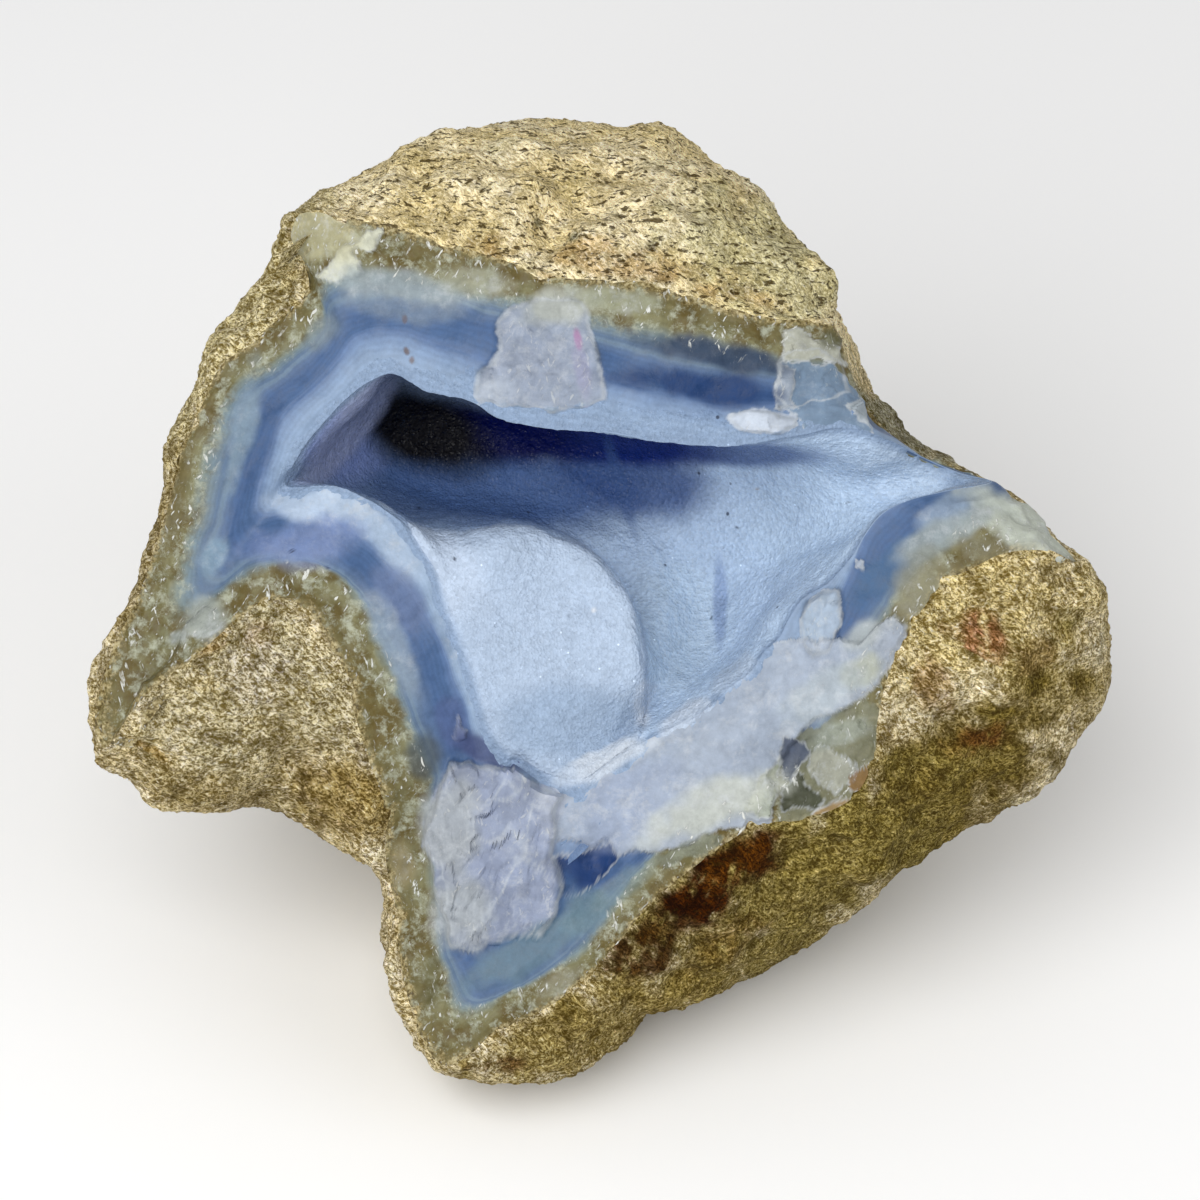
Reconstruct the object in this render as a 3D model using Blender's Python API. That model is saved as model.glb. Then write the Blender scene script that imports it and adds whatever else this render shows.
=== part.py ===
"""A broken blue lace agate geode, in two pieces: the banded stone with its open hollow, and the
crust of small crystals that lines the hollow.

The stone is a ball whose rows of points are moved onto rings. From the floor of the hollow the
rows run out over the lip, across the broken face to the rind, over the outline and round the
back. Every ring goes once round the stone and shares its stations with the other rings, so a
station's points lie on one cut through the wall.
"""

import math

import bmesh
import bpy
import numpy as np

MM = 0.001
STATIONS = 48
EYE_DISTANCE = 550.0
FACE_LEAN = math.radians(40.0)

# The flat spot that the stone rests on: how far it lies below and behind the middle of the face.
BASE_BELOW = 57.0
BASE_BEHIND = 12.0
BASE_ACROSS = 2.5

BACK_POLE = (1.0, 2.0, -70.0)
FLOOR_POLE = (2.0, 10.5, -27.5)
BACK_HALF_WIDTH = 50.0
BACK_HALF_HEIGHT = 46.0

COLUMNS = 72
LIP_ROW = 4.0
CRUST_EDGE = 3.84
HOLLOW_ROWS = (0.0, 0.45, 0.8, 1.1, 1.45, 1.8, 2.15, 2.5, 2.85, 3.2, 3.6, 4.0)
FACE_STEPS = (0.35, 0.7, 1.0, 1.35, 1.7, 1.96)
RIND_STEPS = (0.0, 0.16, 0.36, 0.58, 0.8, 1.0)
BACK_STEPS = (0.1, 0.2, 0.3, 0.4, 0.5, 0.61, 0.73, 0.86, 1.0)
EVEN_BY = 0.55

CRUST_GAP = 0.4
CRUST_THICKNESS = 0.7
CRYSTAL_RISE = 0.28
SLIVER = 0.25

# Lumps, in millimetres: on the rind, and on the broken face. The outline has a share of them.
BIG_LUMP = 1.6
SMALL_LUMP = 1.0
FACE_LUMP = 0.4
OUTLINE_SHARE = 0.3

# Points of each ring as seen square on to the broken face: (station, across, up, out), where out
# is towards the eye. Station 0 is the upper left corner and they run clockwise.
OUTLINE = (
    (0, -33, 43, -4), (0.5, -30, 44.5, -9), (1, -27.5, 46, -14), (1.5, -23, 48, -18),
    (2, -20.5, 50, -21), (3, -14.5, 52, -26), (4, -6.5, 53, -29), (5, 1.5, 52, -31),
    (5.5, 7, 52, -31), (6, 11, 49.5, -30), (7, 17, 45, -27), (7.5, 21, 40.5, -22),
    (8, 24.5, 36, -17), (8.5, 25.5, 32, -12), (9, 27, 29, -9), (9.6, 28.5, 24.5, -9),
    (10, 30, 21, -10), (11, 35, 16, -12), (12, 39, 15, -13), (12.6, 43, 13, -13),
    (13, 47, 10.5, -12), (13.5, 49.5, 7, -11), (14, 53, 4, -10), (15, 55.5, -0.5, -10),
    (16, 55.5, -4.5, -11), (17, 56, -8, -12), (18, 55.5, -11.5, -14), (19, 53, -15, -16),
    (20, 49.5, -20, -19), (21, 44, -23.5, -21), (22, 38.5, -26, -23), (22.6, 33.5, -29.5, -24),
    (23, 29.5, -33, -24), (24, 22, -38.5, -23), (25, 15, -42, -21), (26, 9, -44.5, -20),
    (26.5, 5, -45.5, -19), (27, 3, -48, -17), (28, -0.5, -51, -15), (29, -5.5, -53, -13),
    (30, -12, -52.5, -12), (30.5, -17.5, -52, -11), (31, -21, -47.5, -12),
    (32, -23, -40.5, -13), (32.5, -23.5, -35, -14), (33, -23.5, -31.5, -15),
    (33.5, -25, -29.5, -16), (34, -27.5, -27.5, -18), (35, -30, -26, -18), (36, -33, -24, -18),
    (37, -35, -23, -18), (38, -37, -22.5, -18), (39, -39.5, -22.5, -17), (40, -41.5, -23, -17),
    (41, -44, -23, -16), (42, -47, -22.5, -15), (43, -49.5, -22, -14), (43.4, -51.5, -20, -13),
    (43.7, -53.5, -19, -12), (44, -55.5, -17.5, -9), (44.2, -56, -12.5, -7),
    (44.4, -54.5, -5.5, -6), (44.6, -51.5, -0.5, -6), (44.8, -49.5, 5.5, -6), (45, -48, 12, -7),
    (45.4, -47.5, 17.5, -8), (46, -45, 22, -9), (46.5, -43.5, 27.5, -11), (47, -40, 32, -12),
    (47.4, -36.5, 37, -10), (47.7, -35, 40.5, -8), (47.9, -34.5, 42, -6),
)
RIND_EDGE = (
    (0, -33, 42.5, -2), (1, -28, 42, 0), (2, -23, 41, 0.5), (3, -17.5, 39.5, 1),
    (4, -11, 37.5, 1), (5, -4.5, 35.5, 1), (6, 4.5, 35, 1), (7, 11.5, 33, 0.5), (8, 19, 31, 0),
    (8.6, 25.5, 30.5, -2), (9, 26.5, 28.5, -4), (9.6, 28, 24, -5), (10, 29.5, 21, -7),
    (11, 34.5, 16, -9.5), (12, 38.5, 15, -10.5), (12.6, 42.5, 13, -10), (13, 46, 10.5, -8),
    (13.5, 49.5, 7.5, -5), (14, 52.5, 4, -3.5), (14.4, 50.5, 5, -1), (15, 48, 5.5, 0),
    (16, 44, 5, 1), (16.5, 41, 3.5, 1), (17, 38, 2, 1), (18, 35.5, -1, 1), (19, 33, -5.5, 1),
    (20, 31.5, -9, 0.5), (21, 30.5, -13.5, 0), (22, 30, -18, -1), (22.6, 27.5, -22, -2),
    (23, 23, -24, -3), (24, 17, -25, -3.5), (25, 11.5, -28.5, -4), (26, 5.5, -33.5, -5),
    (27, 0.5, -39.5, -6), (28, -4.5, -44, -6.5), (29, -11, -47.5, -7), (30, -16, -51, -7.5),
    (30.5, -18.5, -50.5, -8), (31, -20.5, -46, -8.5), (32, -22, -39.5, -9),
    (33, -23, -31.5, -9.5), (33.5, -23.5, -29, -8), (34, -24, -22, -4), (35, -25.5, -17.5, -2),
    (36, -27, -12.5, -1), (37, -28, -9, -0.5), (38, -29.5, -5.5, 0), (39, -31.5, -2, 0),
    (40, -34, -0.5, 0), (41, -36.5, 0, 0.5), (42, -38.5, -1, 0.5), (43, -41.5, -3.5, 0.5),
    (43.4, -46, -7.5, 0), (43.7, -50.5, -11, -1), (44, -55, -17, -5), (44.2, -55.5, -12.5, -5),
    (44.4, -53.5, -5, -4), (44.6, -51, 0, -3.5), (44.8, -49, 5.5, -3), (45, -47, 12, -3),
    (45.4, -46, 16.5, -3), (46, -44, 21, -2.5), (46.5, -41.5, 26, -3), (47, -37, 29.5, -3),
    (47.4, -32.5, 34, -2), (47.7, -32.5, 37, -3), (47.85, -34, 40, -3.5),
)
DARK_BAND = (
    (0, -27.5, 29.5, 0), (1, -22.5, 31, 0.3), (2, -17.5, 30.5, 0.5), (3, -11.5, 29, 0.5),
    (4, -5.5, 27.5, 0.5), (5, 0.5, 26.5, 0.5), (6, 7, 24.5, 0.5), (7, 14.5, 23.5, 0.3),
    (8, 21, 23.5, 0), (9, 26, 23.5, -2), (10, 30.5, 19.5, -6), (11, 35, 16, -9),
    (12, 38.5, 14.5, -9.5), (12.6, 42.5, 13, -8.5), (13, 44.5, 12, -5), (14, 42.5, 11, -1.5),
    (15, 38.5, 10.5, 0), (16, 36, 8, 0.3), (17, 33, 5.5, 0), (18, 31.5, 2, -0.3),
    (19, 29.5, -1.5, -0.5), (20, 27.5, -5.5, -1), (21, 26, -9.5, -1.5), (22, 24, -12.5, -2),
    (23, 20, -16, -3), (24, 15, -19, -3.5), (25, 10, -22, -4), (26, 5, -27, -4.5),
    (27, 0, -31.5, -5), (28, -3.5, -35, -5), (29, -8, -40, -5.5), (30, -13, -42.5, -6),
    (31, -15.5, -39.5, -6), (32, -16.5, -34.5, -6), (33, -16.5, -27.5, -5.5),
    (33.5, -16.5, -22, -5), (34, -16.5, -17, -4), (35, -17, -14, -3), (36, -18.5, -10, -2),
    (37, -19.5, -6, -1.5), (38, -21, -2.5, -1), (39, -23, 1, -0.7), (40, -25, 3.5, -0.4),
    (41, -27.5, 5.5, 0), (42, -31.5, 6.5, 0.3), (43, -36, 5.5, 0), (44, -40.5, 4, -1),
    (44.5, -41, 6.5, -1), (45, -39.5, 12, -0.5), (46, -37, 18.5, 0), (47, -32.5, 23.5, 0),
    (47.5, -29.5, 27, 0),
)
LIP = (
    (0, -23, 25, 0), (1, -19, 23, 0.5), (2, -14.5, 22, 0.5), (3, -11, 20, 0.5),
    (4, -6, 19, 0.5), (5, 0, 18.5, 0.5), (6, 6.5, 17.5, 0.5), (7, 14, 17, 0), (8, 21, 18, -0.5),
    (9, 27, 19, -2), (10, 32, 17.5, -4), (11, 36, 15.5, -7.5), (12, 39.5, 14, -8),
    (13, 43, 13, -4), (14, 38, 12, -1.5), (15, 34, 11, -0.5), (16, 31, 9.5, -0.5),
    (17, 29, 7, -1), (18, 27.5, 4.5, -1.5), (19, 25, 1.8, -2), (19.7, 22.4, 0.2, -2.4),
    (20.4, 20.8, -2, -2.8), (21, 19.8, -4, -3.1), (22, 18, -5.8, -3.5), (23, 16.5, -8, -4),
    (24, 13, -10.5, -4.5), (25, 9, -13.5, -5), (26, 5, -15.5, -5.2), (27, 1, -18, -5),
    (28, -2, -20.5, -5), (29, -5.5, -20, -5),
    (30, -7, -19, -5), (31, -8.5, -18, -4.8), (32, -9.5, -17.5, -4.6), (33, -10.5, -17.5, -4.2),
    (34, -12.5, -15, -3.6), (35, -13.5, -12.5, -3), (36, -14.5, -9, -2.4), (37, -16, -5, -2),
    (38, -17.5, -1, -1.5), (39, -18.5, 3, -1), (40, -20.5, 6, -0.5), (41, -22, 8.5, 0),
    (42, -25.5, 11, 0.3), (43, -29.5, 12.5, 0.3), (44, -34.5, 12.5, -2), (45, -33.5, 15.5, -0.5),
    (46, -31, 19, 0), (47, -27, 23, 0),
)
HOLLOW_RIM = (
    (0, -23, 26, -7), (2, -14.5, 23.5, -7), (4, -6, 21, -8), (6, 6.5, 19, -8),
    (7.5, 17, 17.5, -7), (9, 25, 16.5, -6), (10, 29.5, 15, -7), (11, 33, 14, -9),
    (12, 36.5, 12.5, -9), (13, 39, 12, -7), (14, 36, 10.5, -5), (15.5, 31, 8.5, -5.5),
    (17, 27, 5.5, -6), (19, 22.5, 1.5, -7.5), (20.2, 19, -1.5, -8), (21.5, 17.5, -4.5, -8.5),
    (23, 15, -7, -9), (25, 8.5, -12, -9), (26.3, 4.8, -13.9, -8.3), (28, 0, -17, -7),
    (29.5, -4, -17.5, -6), (31, -7, -16, -4.5), (33, -8, -14, -3.8), (35, -10, -10, -3),
    (37, -12, -4.5, -2.5), (39, -16, 2.6, -2.2), (40.2, -18.6, 6.3, -2.6), (41.3, -22, 9, -4),
    (42.5, -27.5, 11.3, -6), (43.3, -31, 12.3, -7), (44, -33, 13.5, -7.5), (45, -31.5, 16.5, -6),
    (46, -29.5, 19, -6), (47, -26, 22.2, -6),
)
HOLLOW_WALL = (
    (0, -22.5, 25.2, -16), (2, -15, 23.3, -17), (4, -6, 21.8, -18), (6, 6, 19, -17),
    (8, 17.5, 16.5, -14.5), (10, 24, 14, -12), (12, 28, 11, -11.5), (14, 28, 9, -11),
    (16, 25.5, 6, -12), (18, 22, 3.5, -13.5), (20, 19, -0.5, -15), (22, 15.5, -4.5, -15.5),
    (24, 11, -9, -14.5), (26, 7, -10.8, -13), (27.3, 5.4, -11.2, -12), (28.5, 4.9, -10.2, -10.6),
    (29.7, 4.8, -8.5, -9), (31, 4.4, -6, -7.5), (33, 3.2, -1, -6.5), (34.5, 0, 4, -6.5),
    (36, -4, 6.5, -6.5), (37.5, -8, 7.6, -6.5), (39, -13, 7.8, -7.5), (40, -17, 7.8, -8.5),
    (41, -20.5, 8.2, -10), (42, -23.5, 9, -12), (43, -27.5, 10, -13.5), (44, -30.5, 13, -14),
    (45, -30, 17, -14), (46, -28, 20, -14.5), (47, -25.5, 23, -15.5),
)
HOLLOW_DEEP = (
    (0, -18, 20.5, -25), (2, -12, 19.5, -26), (4, -5, 17.5, -26.5), (6, 4, 16.5, -25),
    (8, 12, 14.5, -23), (10, 16.5, 12, -21.5), (12, 18.5, 9.5, -20.5), (14, 19, 7, -20),
    (16, 18, 5, -20.5), (18, 16, 2, -21), (20, 14, -0.5, -21.5), (22, 11.5, -3.5, -20.5),
    (24, 9.5, -5.5, -19.5), (26, 7.6, -7, -18), (28, 6.4, -6, -17.5), (30, 5.3, -4, -18),
    (32, 3, -0.5, -19.5), (34, 0, 3.5, -21.5), (36, -4, 6.5, -23), (38, -8, 8.5, -24),
    (40, -12.5, 9.5, -24.5), (42, -17.5, 11, -24.5), (44, -21.5, 13.5, -24.5), (46, -22, 17.5, -24.5),
)

# Ledges and flakes left by the break: outline as (across, up), height of the top as out at the
# first point, its slope across and up, and the thickness.
LEDGES = {
    "bottom_slab": (
        ((-16.5, -18), (-12, -17.9), (-9.4, -18.6), (-6, -20.4), (-4, -21.5), (-4.6, -24),
         (-5, -28), (-4, -31.5), (-4.6, -35), (-6.5, -37), (-10, -37), (-13, -38.6),
         (-16.5, -38), (-17.8, -33), (-18.6, -28.5), (-20, -27), (-18.5, -22)),
        -2.4, 0.02, 0.13, 4.6,
    ),
    "top_flake": (
        ((-13.7, 21.8), (-13.3, 25), (-11, 27.3), (-11.6, 29.5), (-10, 32), (-6, 33.4),
         (-2.5, 33.6), (-1.2, 31), (0, 27), (0.6, 22), (-4, 20.6), (-9, 21.2)),
        1.5, 0.0, 0.0, 2.6,
    ),
    "lip_flake": (
        ((13.8, 20), (15.3, 20.8), (18.5, 20.9), (22, 20.3), (22, 18.9), (18.7, 18.2),
         (15.5, 18.4)),
        1.6, -0.1, 0.0, 3.0,
    ),
    "right_facet": (
        ((20.5, 27), (19.6, 26), (19.4, 22.6), (20.6, 21.4), (24, 21.6), (27, 22.8),
         (26.6, 26.2), (24, 28.2)),
        1.2, -0.35, 0.0, 3.4,
    ),
    "round_flake": (
        ((26.4, 1.2), (26.6, -2.6), (25.3, -5.2), (23.6, -6), (22.4, -4.8), (22, -2),
         (22.8, 0), (24.6, 1.3)),
        -0.7, 0.12, 0.0, 1.6,
    ),
}

# Broad dents and swellings: (across, up, half width, half height, rise in millimetres).
RELIEF = (
    (-0.5, -28.5, 2.6, 2.6, -2.0),
    (21.0, -17.5, 3.2, 4.0, -2.2),
    (45.0, -6.0, 8.0, 8.0, 1.5),
    (-40.0, -12.0, 8.0, 6.0, 1.6),
    (7.0, 45.0, 12.0, 4.0, 1.0),
    (-26.0, 34.0, 4.0, 3.0, 0.8),
    (10.0, -9.5, 3.0, 2.5, 1.6),
    (13.4, 0.0, 1.8, 7.0, -1.2),
    (2.5, 14.0, 1.8, 6.0, -1.4),
)

RIND_COLOUR = (0.42, 0.36, 0.19, 1.0)
DRUSE_COLOUR = (0.36, 0.47, 0.68, 1.0)


def along_ring(points, stations):
    """Points on a closed ring: a cubic through its points, with the slope at each one taken
    from the chord between its neighbours."""
    table = np.array(points, dtype=float)
    before = table[-2:] - (STATIONS, 0, 0, 0)
    after = table[:2] + (STATIONS, 0, 0, 0)
    table = np.concatenate((before, table, after))
    knots, places = table[:, 0], table[:, 1:]
    slopes = (places[2:] - places[:-2]) / (knots[2:] - knots[:-2])[:, None]
    knots, places = knots[1:-1], places[1:-1]
    at = np.mod(stations, STATIONS)
    low = np.clip(np.searchsorted(knots, at, side="right") - 1, 0, len(knots) - 2)
    gap = (knots[low + 1] - knots[low])[:, None]
    return hermite(places[low], places[low + 1], slopes[low] * gap, slopes[low + 1] * gap,
                   (at - knots[low])[:, None] / gap)


def hermite(start, end, start_slope, end_slope, t):
    """Cubic from start to end that leaves and arrives with the two slopes."""
    return ((2 * t**3 - 3 * t**2 + 1) * start + (t**3 - 2 * t**2 + t) * start_slope
            + (3 * t**2 - 2 * t**3) * end + (t**3 - t**2) * end_slope)


def even_stations(count):
    """Stations spread so that the mean step along the outline, rind edge and lip is the same."""
    fine = np.linspace(0, STATIONS, 40 * STATIONS + 1)
    length = np.zeros(len(fine) - 1)
    for ring in (OUTLINE, RIND_EDGE, LIP):
        length += np.linalg.norm(np.diff(along_ring(ring, fine), axis=0), axis=1)
    travelled = np.concatenate(((0.0,), np.cumsum(length)))
    return np.interp(np.arange(count) / count * travelled[-1], travelled, fine)


def steady_slope(before, after):
    """Harmonic mean of two steps, and none where they turn back, so nothing overshoots."""
    same_way = before * after > 0
    total = np.where(same_way, before + after, 1.0)
    return np.where(same_way, 2 * before * after / total, 0.0)


def hollow_row(row, stations):
    """Ring of the hollow, from its floor pole at row 0 to the lip at row 4."""
    deep = along_ring(HOLLOW_DEEP, stations)
    opposite = along_ring(HOLLOW_DEEP, stations + STATIONS / 2)
    pole = np.broadcast_to(np.array(FLOOR_POLE), deep.shape)
    rings = [pole, deep]
    rings += [along_ring(ring, stations) for ring in (HOLLOW_WALL, HOLLOW_RIM, LIP)]
    steps = [after - before for before, after in zip(rings, rings[1:])]
    slopes = [(deep - opposite) / 2]
    slopes += [steady_slope(before, after) for before, after in zip(steps, steps[1:])]
    slopes.append(steps[-1])
    low = min(int(row), len(steps) - 1)
    points = hermite(rings[low], rings[low + 1], slopes[low], slopes[low + 1], row - low)
    points[:, 2] += relief(points)
    return points


def face_row(step, stations):
    """Ring of the broken face: straight from the lip to the dark band and on to the rind."""
    lip, band, rind = (along_ring(ring, stations) for ring in (LIP, DARK_BAND, RIND_EDGE))
    if step <= 1:
        return lip + (band - lip) * step
    return band + (rind - band) * (step - 1)


def rind_row(step, stations):
    """Ring between the rind edge and the outline, on a quarter of an ellipse."""
    edge, outline = along_ring(RIND_EDGE, stations), along_ring(OUTLINE, stations)
    outwards = math.sin(step * math.pi / 2) ** 0.9
    backwards = 0.65 * (1 - math.cos(step * math.pi / 2)) + 0.35 * step
    return edge + (outline - edge) * np.array((outwards, outwards, backwards))


def back_row(step, stations):
    """Ring of the back: the outline shrinks on a rounded path and turns into an ellipse."""
    outline = along_ring(OUTLINE, stations)
    pole = np.array(BACK_POLE)
    spoke = outline[:, :2] - pole[:2]
    angle = np.arctan2(spoke[:, 1], spoke[:, 0])
    oval = np.stack((BACK_HALF_WIDTH * np.cos(angle), BACK_HALF_HEIGHT * np.sin(angle)), axis=1)
    evened = min(1.0, (step / EVEN_BY) ** 2)
    spoke = spoke * (1 - evened) + oval * evened
    turn = step * math.pi / 2
    across_up = pole[:2] + spoke * math.cos(turn) ** 0.8
    out = outline[:, 2] + (pole[2] - outline[:, 2]) * math.sin(turn) ** 1.15
    return np.column_stack((across_up, out))


def waves(points, size, seed):
    """Soft bumps between -1 and 1: the mean of sine waves that run in scattered directions."""
    chance = np.random.default_rng(seed)
    total = np.zeros(len(points))
    count = 14
    for _ in range(count):
        way = chance.normal(size=3)
        way *= chance.uniform(0.6, 1.5) / (np.linalg.norm(way) * size)
        total += np.sin(2 * math.pi * points @ way + chance.uniform(0, 2 * math.pi))
    return total * 2 / count


def relief(points):
    """Broad dents and swellings, each one a smooth round hill in the plane of the face."""
    total = np.zeros(len(points))
    for across, up, half_width, half_height, rise in RELIEF:
        off = ((points[:, 0] - across) / half_width) ** 2 + ((points[:, 1] - up) / half_height) ** 2
        total += rise * np.exp(-off) * (points[:, 2] > -26)
    return total


def seen_to_stone(points):
    """From the view square on to the face into the stone's own frame, in metres. Things nearer
    the eye look larger, so their real size is less by their share of the eye's distance."""
    shrink = 1 - points[:, 2] / EYE_DISTANCE
    across, up = points[:, 0] * shrink, points[:, 1] * shrink
    lean, rise = math.sin(FACE_LEAN), math.cos(FACE_LEAN)
    back = up * lean - points[:, 2] * rise - BASE_BEHIND
    height = up * rise + points[:, 2] * lean + BASE_BELOW
    return np.column_stack((across - BASE_ACROSS, back, height)) * MM


def ball_mesh(name, rings):
    """Ball with one row of points for each ring. The first and last rings are its poles."""
    columns, last = len(rings[0]), len(rings) - 1
    shape = bmesh.new()
    bmesh.ops.create_uvsphere(shape, u_segments=columns, v_segments=last, radius=1.0)
    mesh = bpy.data.meshes.new(name)
    shape.to_mesh(mesh)
    shape.free()
    unit = np.empty(len(mesh.vertices) * 3, dtype=np.float32)
    mesh.vertices.foreach_get("co", unit)
    unit = unit.reshape(-1, 3)
    row = np.rint(np.arccos(np.clip(unit[:, 2], -1, 1)) / math.pi * last).astype(int)
    turn = -np.arctan2(unit[:, 1], unit[:, 0]) / (2 * math.pi)
    column = np.mod(np.rint(turn * columns).astype(int), columns)
    seen = np.array(rings)[row, column]
    return mesh, seen, row


def mesh_normals(mesh):
    normals = np.empty(len(mesh.vertices) * 3, dtype=np.float32)
    mesh.vertex_normals.foreach_get("vector", normals)
    return normals.reshape(-1, 3)


def place(mesh, points):
    mesh.vertices.foreach_set("co", points.astype(np.float32).ravel())
    mesh.update()


def stone_mesh():
    """The stone: hollow, broken face, rind and back, with its lumps."""
    stations = even_stations(COLUMNS)
    rings = [hollow_row(row, stations) for row in HOLLOW_ROWS]
    rings += [face_row(step, stations) for step in FACE_STEPS]
    first_rind = len(rings)
    rings += [rind_row(step, stations) for step in RIND_STEPS]
    rings += [back_row(step, stations) for step in BACK_STEPS]
    mesh, seen, row = ball_mesh("geode_stone", rings)
    place(mesh, seen_to_stone(seen))
    outline = first_rind + len(RIND_STEPS) - 1
    on_rind = row > first_rind
    on_face = (row >= len(HOLLOW_ROWS)) & (row < first_rind)
    lumps = BIG_LUMP * waves(seen, 17.0, 3) + SMALL_LUMP * waves(seen, 7.5, 4)
    rise = np.where(on_face | on_rind, relief(seen), 0.0)
    share = np.minimum(1.0, OUTLINE_SHARE * (1 + np.abs(row - outline)))
    rise += np.where(on_rind, lumps * share, 0.0)
    rise += np.where(on_face, FACE_LUMP * waves(seen, 9.0, 5), 0.0)
    place(mesh, seen_to_stone(seen) + mesh_normals(mesh) * rise[:, None] * MM)
    return mesh


def crust_mesh():
    """The crust: the hollow's surface again, lifted clear of it, given a thickness and covered
    with low pyramids, one crystal to a face."""
    stations = even_stations(COLUMNS)
    rows = [row for row in HOLLOW_ROWS if row < CRUST_EDGE] + [CRUST_EDGE]
    rings = [hollow_row(row, stations) for row in rows]
    closing = len(rings)
    rings += [hollow_row(LIP_ROW, stations), back_row(1.0, stations)]
    mesh, seen, row = ball_mesh("druzy_crust", rings)
    place(mesh, seen_to_stone(seen))
    place(mesh, seen_to_stone(seen) + mesh_normals(mesh) * CRUST_GAP * MM)
    shape = bmesh.new()
    shape.from_mesh(mesh)
    shape.verts.ensure_lookup_table()
    outside = [shape.verts[index] for index in np.flatnonzero(row >= closing)]
    bmesh.ops.delete(shape, geom=outside, context="VERTS")
    thicken_and_grow(shape)
    shape.to_mesh(mesh)
    shape.free()
    return mesh


def is_stout(face):
    """Whether a face is wide enough for a crystal: four sides, none of them a sliver."""
    sides = [edge.calc_length() for edge in face.edges]
    return len(sides) == 4 and min(sides) > SLIVER * max(sides)


def thicken_and_grow(shape):
    """Gives an open sheet its thickness, and a pyramid on each face of its upper side."""
    top = list(shape.faces)
    lower = bmesh.ops.duplicate(shape, geom=shape.verts[:] + shape.edges[:] + shape.faces[:])
    lower_faces = [item for item in lower["geom"] if isinstance(item, bmesh.types.BMFace)]
    shape.normal_update()
    for face_vertex in {vertex for face in top for vertex in face.verts}:
        face_vertex.co += face_vertex.normal * CRUST_THICKNESS * MM
    bmesh.ops.reverse_faces(shape, faces=lower_faces)
    open_edges = [edge for edge in shape.edges if edge.is_boundary]
    bmesh.ops.bridge_loops(shape, edges=open_edges)
    stout = [face for face in top if is_stout(face)]
    bmesh.ops.poke(shape, faces=stout, offset=CRYSTAL_RISE, use_relative_offset=True)


def ledge_object(name, ledge, collection):
    """A flake as a thin slab: its outline carried from the top down into the stone."""
    outline, top, across_slope, up_slope, thickness = ledge
    first = np.array(outline[0])
    flat = np.array(outline, dtype=float)
    out = top + (flat - first) @ np.array((across_slope, up_slope))
    upper = seen_to_stone(np.column_stack((flat, out)))
    lower = seen_to_stone(np.column_stack((flat, out - thickness)))
    shape = bmesh.new()
    corners = [shape.verts.new(point) for point in upper]
    top_face = shape.faces.new(corners[::-1])
    top_faces = bmesh.ops.triangulate(shape, faces=[top_face])["faces"]
    foot = bmesh.ops.extrude_face_region(shape, geom=top_faces)
    moved = [item for item in foot["geom"] if isinstance(item, bmesh.types.BMVert)]
    shift = (lower - upper)[0]
    bmesh.ops.translate(shape, verts=moved, vec=shift)
    bmesh.ops.recalc_face_normals(shape, faces=shape.faces[:])
    mesh = bpy.data.meshes.new(name)
    shape.to_mesh(mesh)
    shape.free()
    ledge_piece = bpy.data.objects.new(name, mesh)
    hide_tool(ledge_piece, collection)
    return ledge_piece


def base_object(collection):
    """Block below the flat spot, which takes off the underside of the stone."""
    bpy.ops.mesh.primitive_cube_add(size=1.0, location=(0, 0, -0.03))
    block = bpy.context.object
    block.name = "base_cutter"
    block.scale = (0.3, 0.3, 0.06)
    bpy.ops.object.transform_apply(location=False, rotation=False, scale=True)
    for owner in list(block.users_collection):
        owner.objects.unlink(block)
    hide_tool(block, collection)
    return block


def hide_tool(tool, collection):
    collection.objects.link(tool)
    tool.hide_render = True
    tool.display_type = "WIRE"


def combine(stone, tool, operation):
    step = stone.modifiers.new(tool.name, "BOOLEAN")
    step.operation = operation
    step.solver = "EXACT"
    step.object = tool


def material(name, colour, roughness):
    made = bpy.data.materials.new(name)
    made.use_nodes = True
    shader = made.node_tree.nodes["Principled BSDF"]
    shader.inputs["Base Color"].default_value = colour
    shader.inputs["Roughness"].default_value = roughness
    shader.inputs["Metallic"].default_value = 0.0
    made.diffuse_color = colour
    return made


def new_collection(name):
    made = bpy.data.collections.new(name)
    bpy.context.scene.collection.children.link(made)
    return made


def main():
    for leftover in list(bpy.data.objects):
        bpy.data.objects.remove(leftover)
    parts = new_collection("blue_lace_agate_geode")
    tools = new_collection("tools")

    stone = bpy.data.objects.new("geode_stone", stone_mesh())
    parts.objects.link(stone)
    stone.data.materials.append(material("banded_stone", RIND_COLOUR, 0.75))
    for name, ledge in LEDGES.items():
        combine(stone, ledge_object(name, ledge, tools), "UNION")
    combine(stone, base_object(tools), "DIFFERENCE")
    stone.data.shade_smooth()
    stone.data.set_sharp_from_angle(angle=math.radians(35))

    crust = bpy.data.objects.new("druzy_crust", crust_mesh())
    parts.objects.link(crust)
    crust.data.materials.append(material("druzy_quartz", DRUSE_COLOUR, 0.4))


if __name__ == "__main__":
    main()
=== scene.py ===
"""Looks of a broken blue lace agate geode: granular rind, banded wall on the broken face and a
hollow lined with small crystals.

Every surface is a grid of rows and columns over the same rings as the solids: rows run from the
floor of the hollow over the lip, the broken face and the rind to the back, and columns go round.
"""

import math

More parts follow.
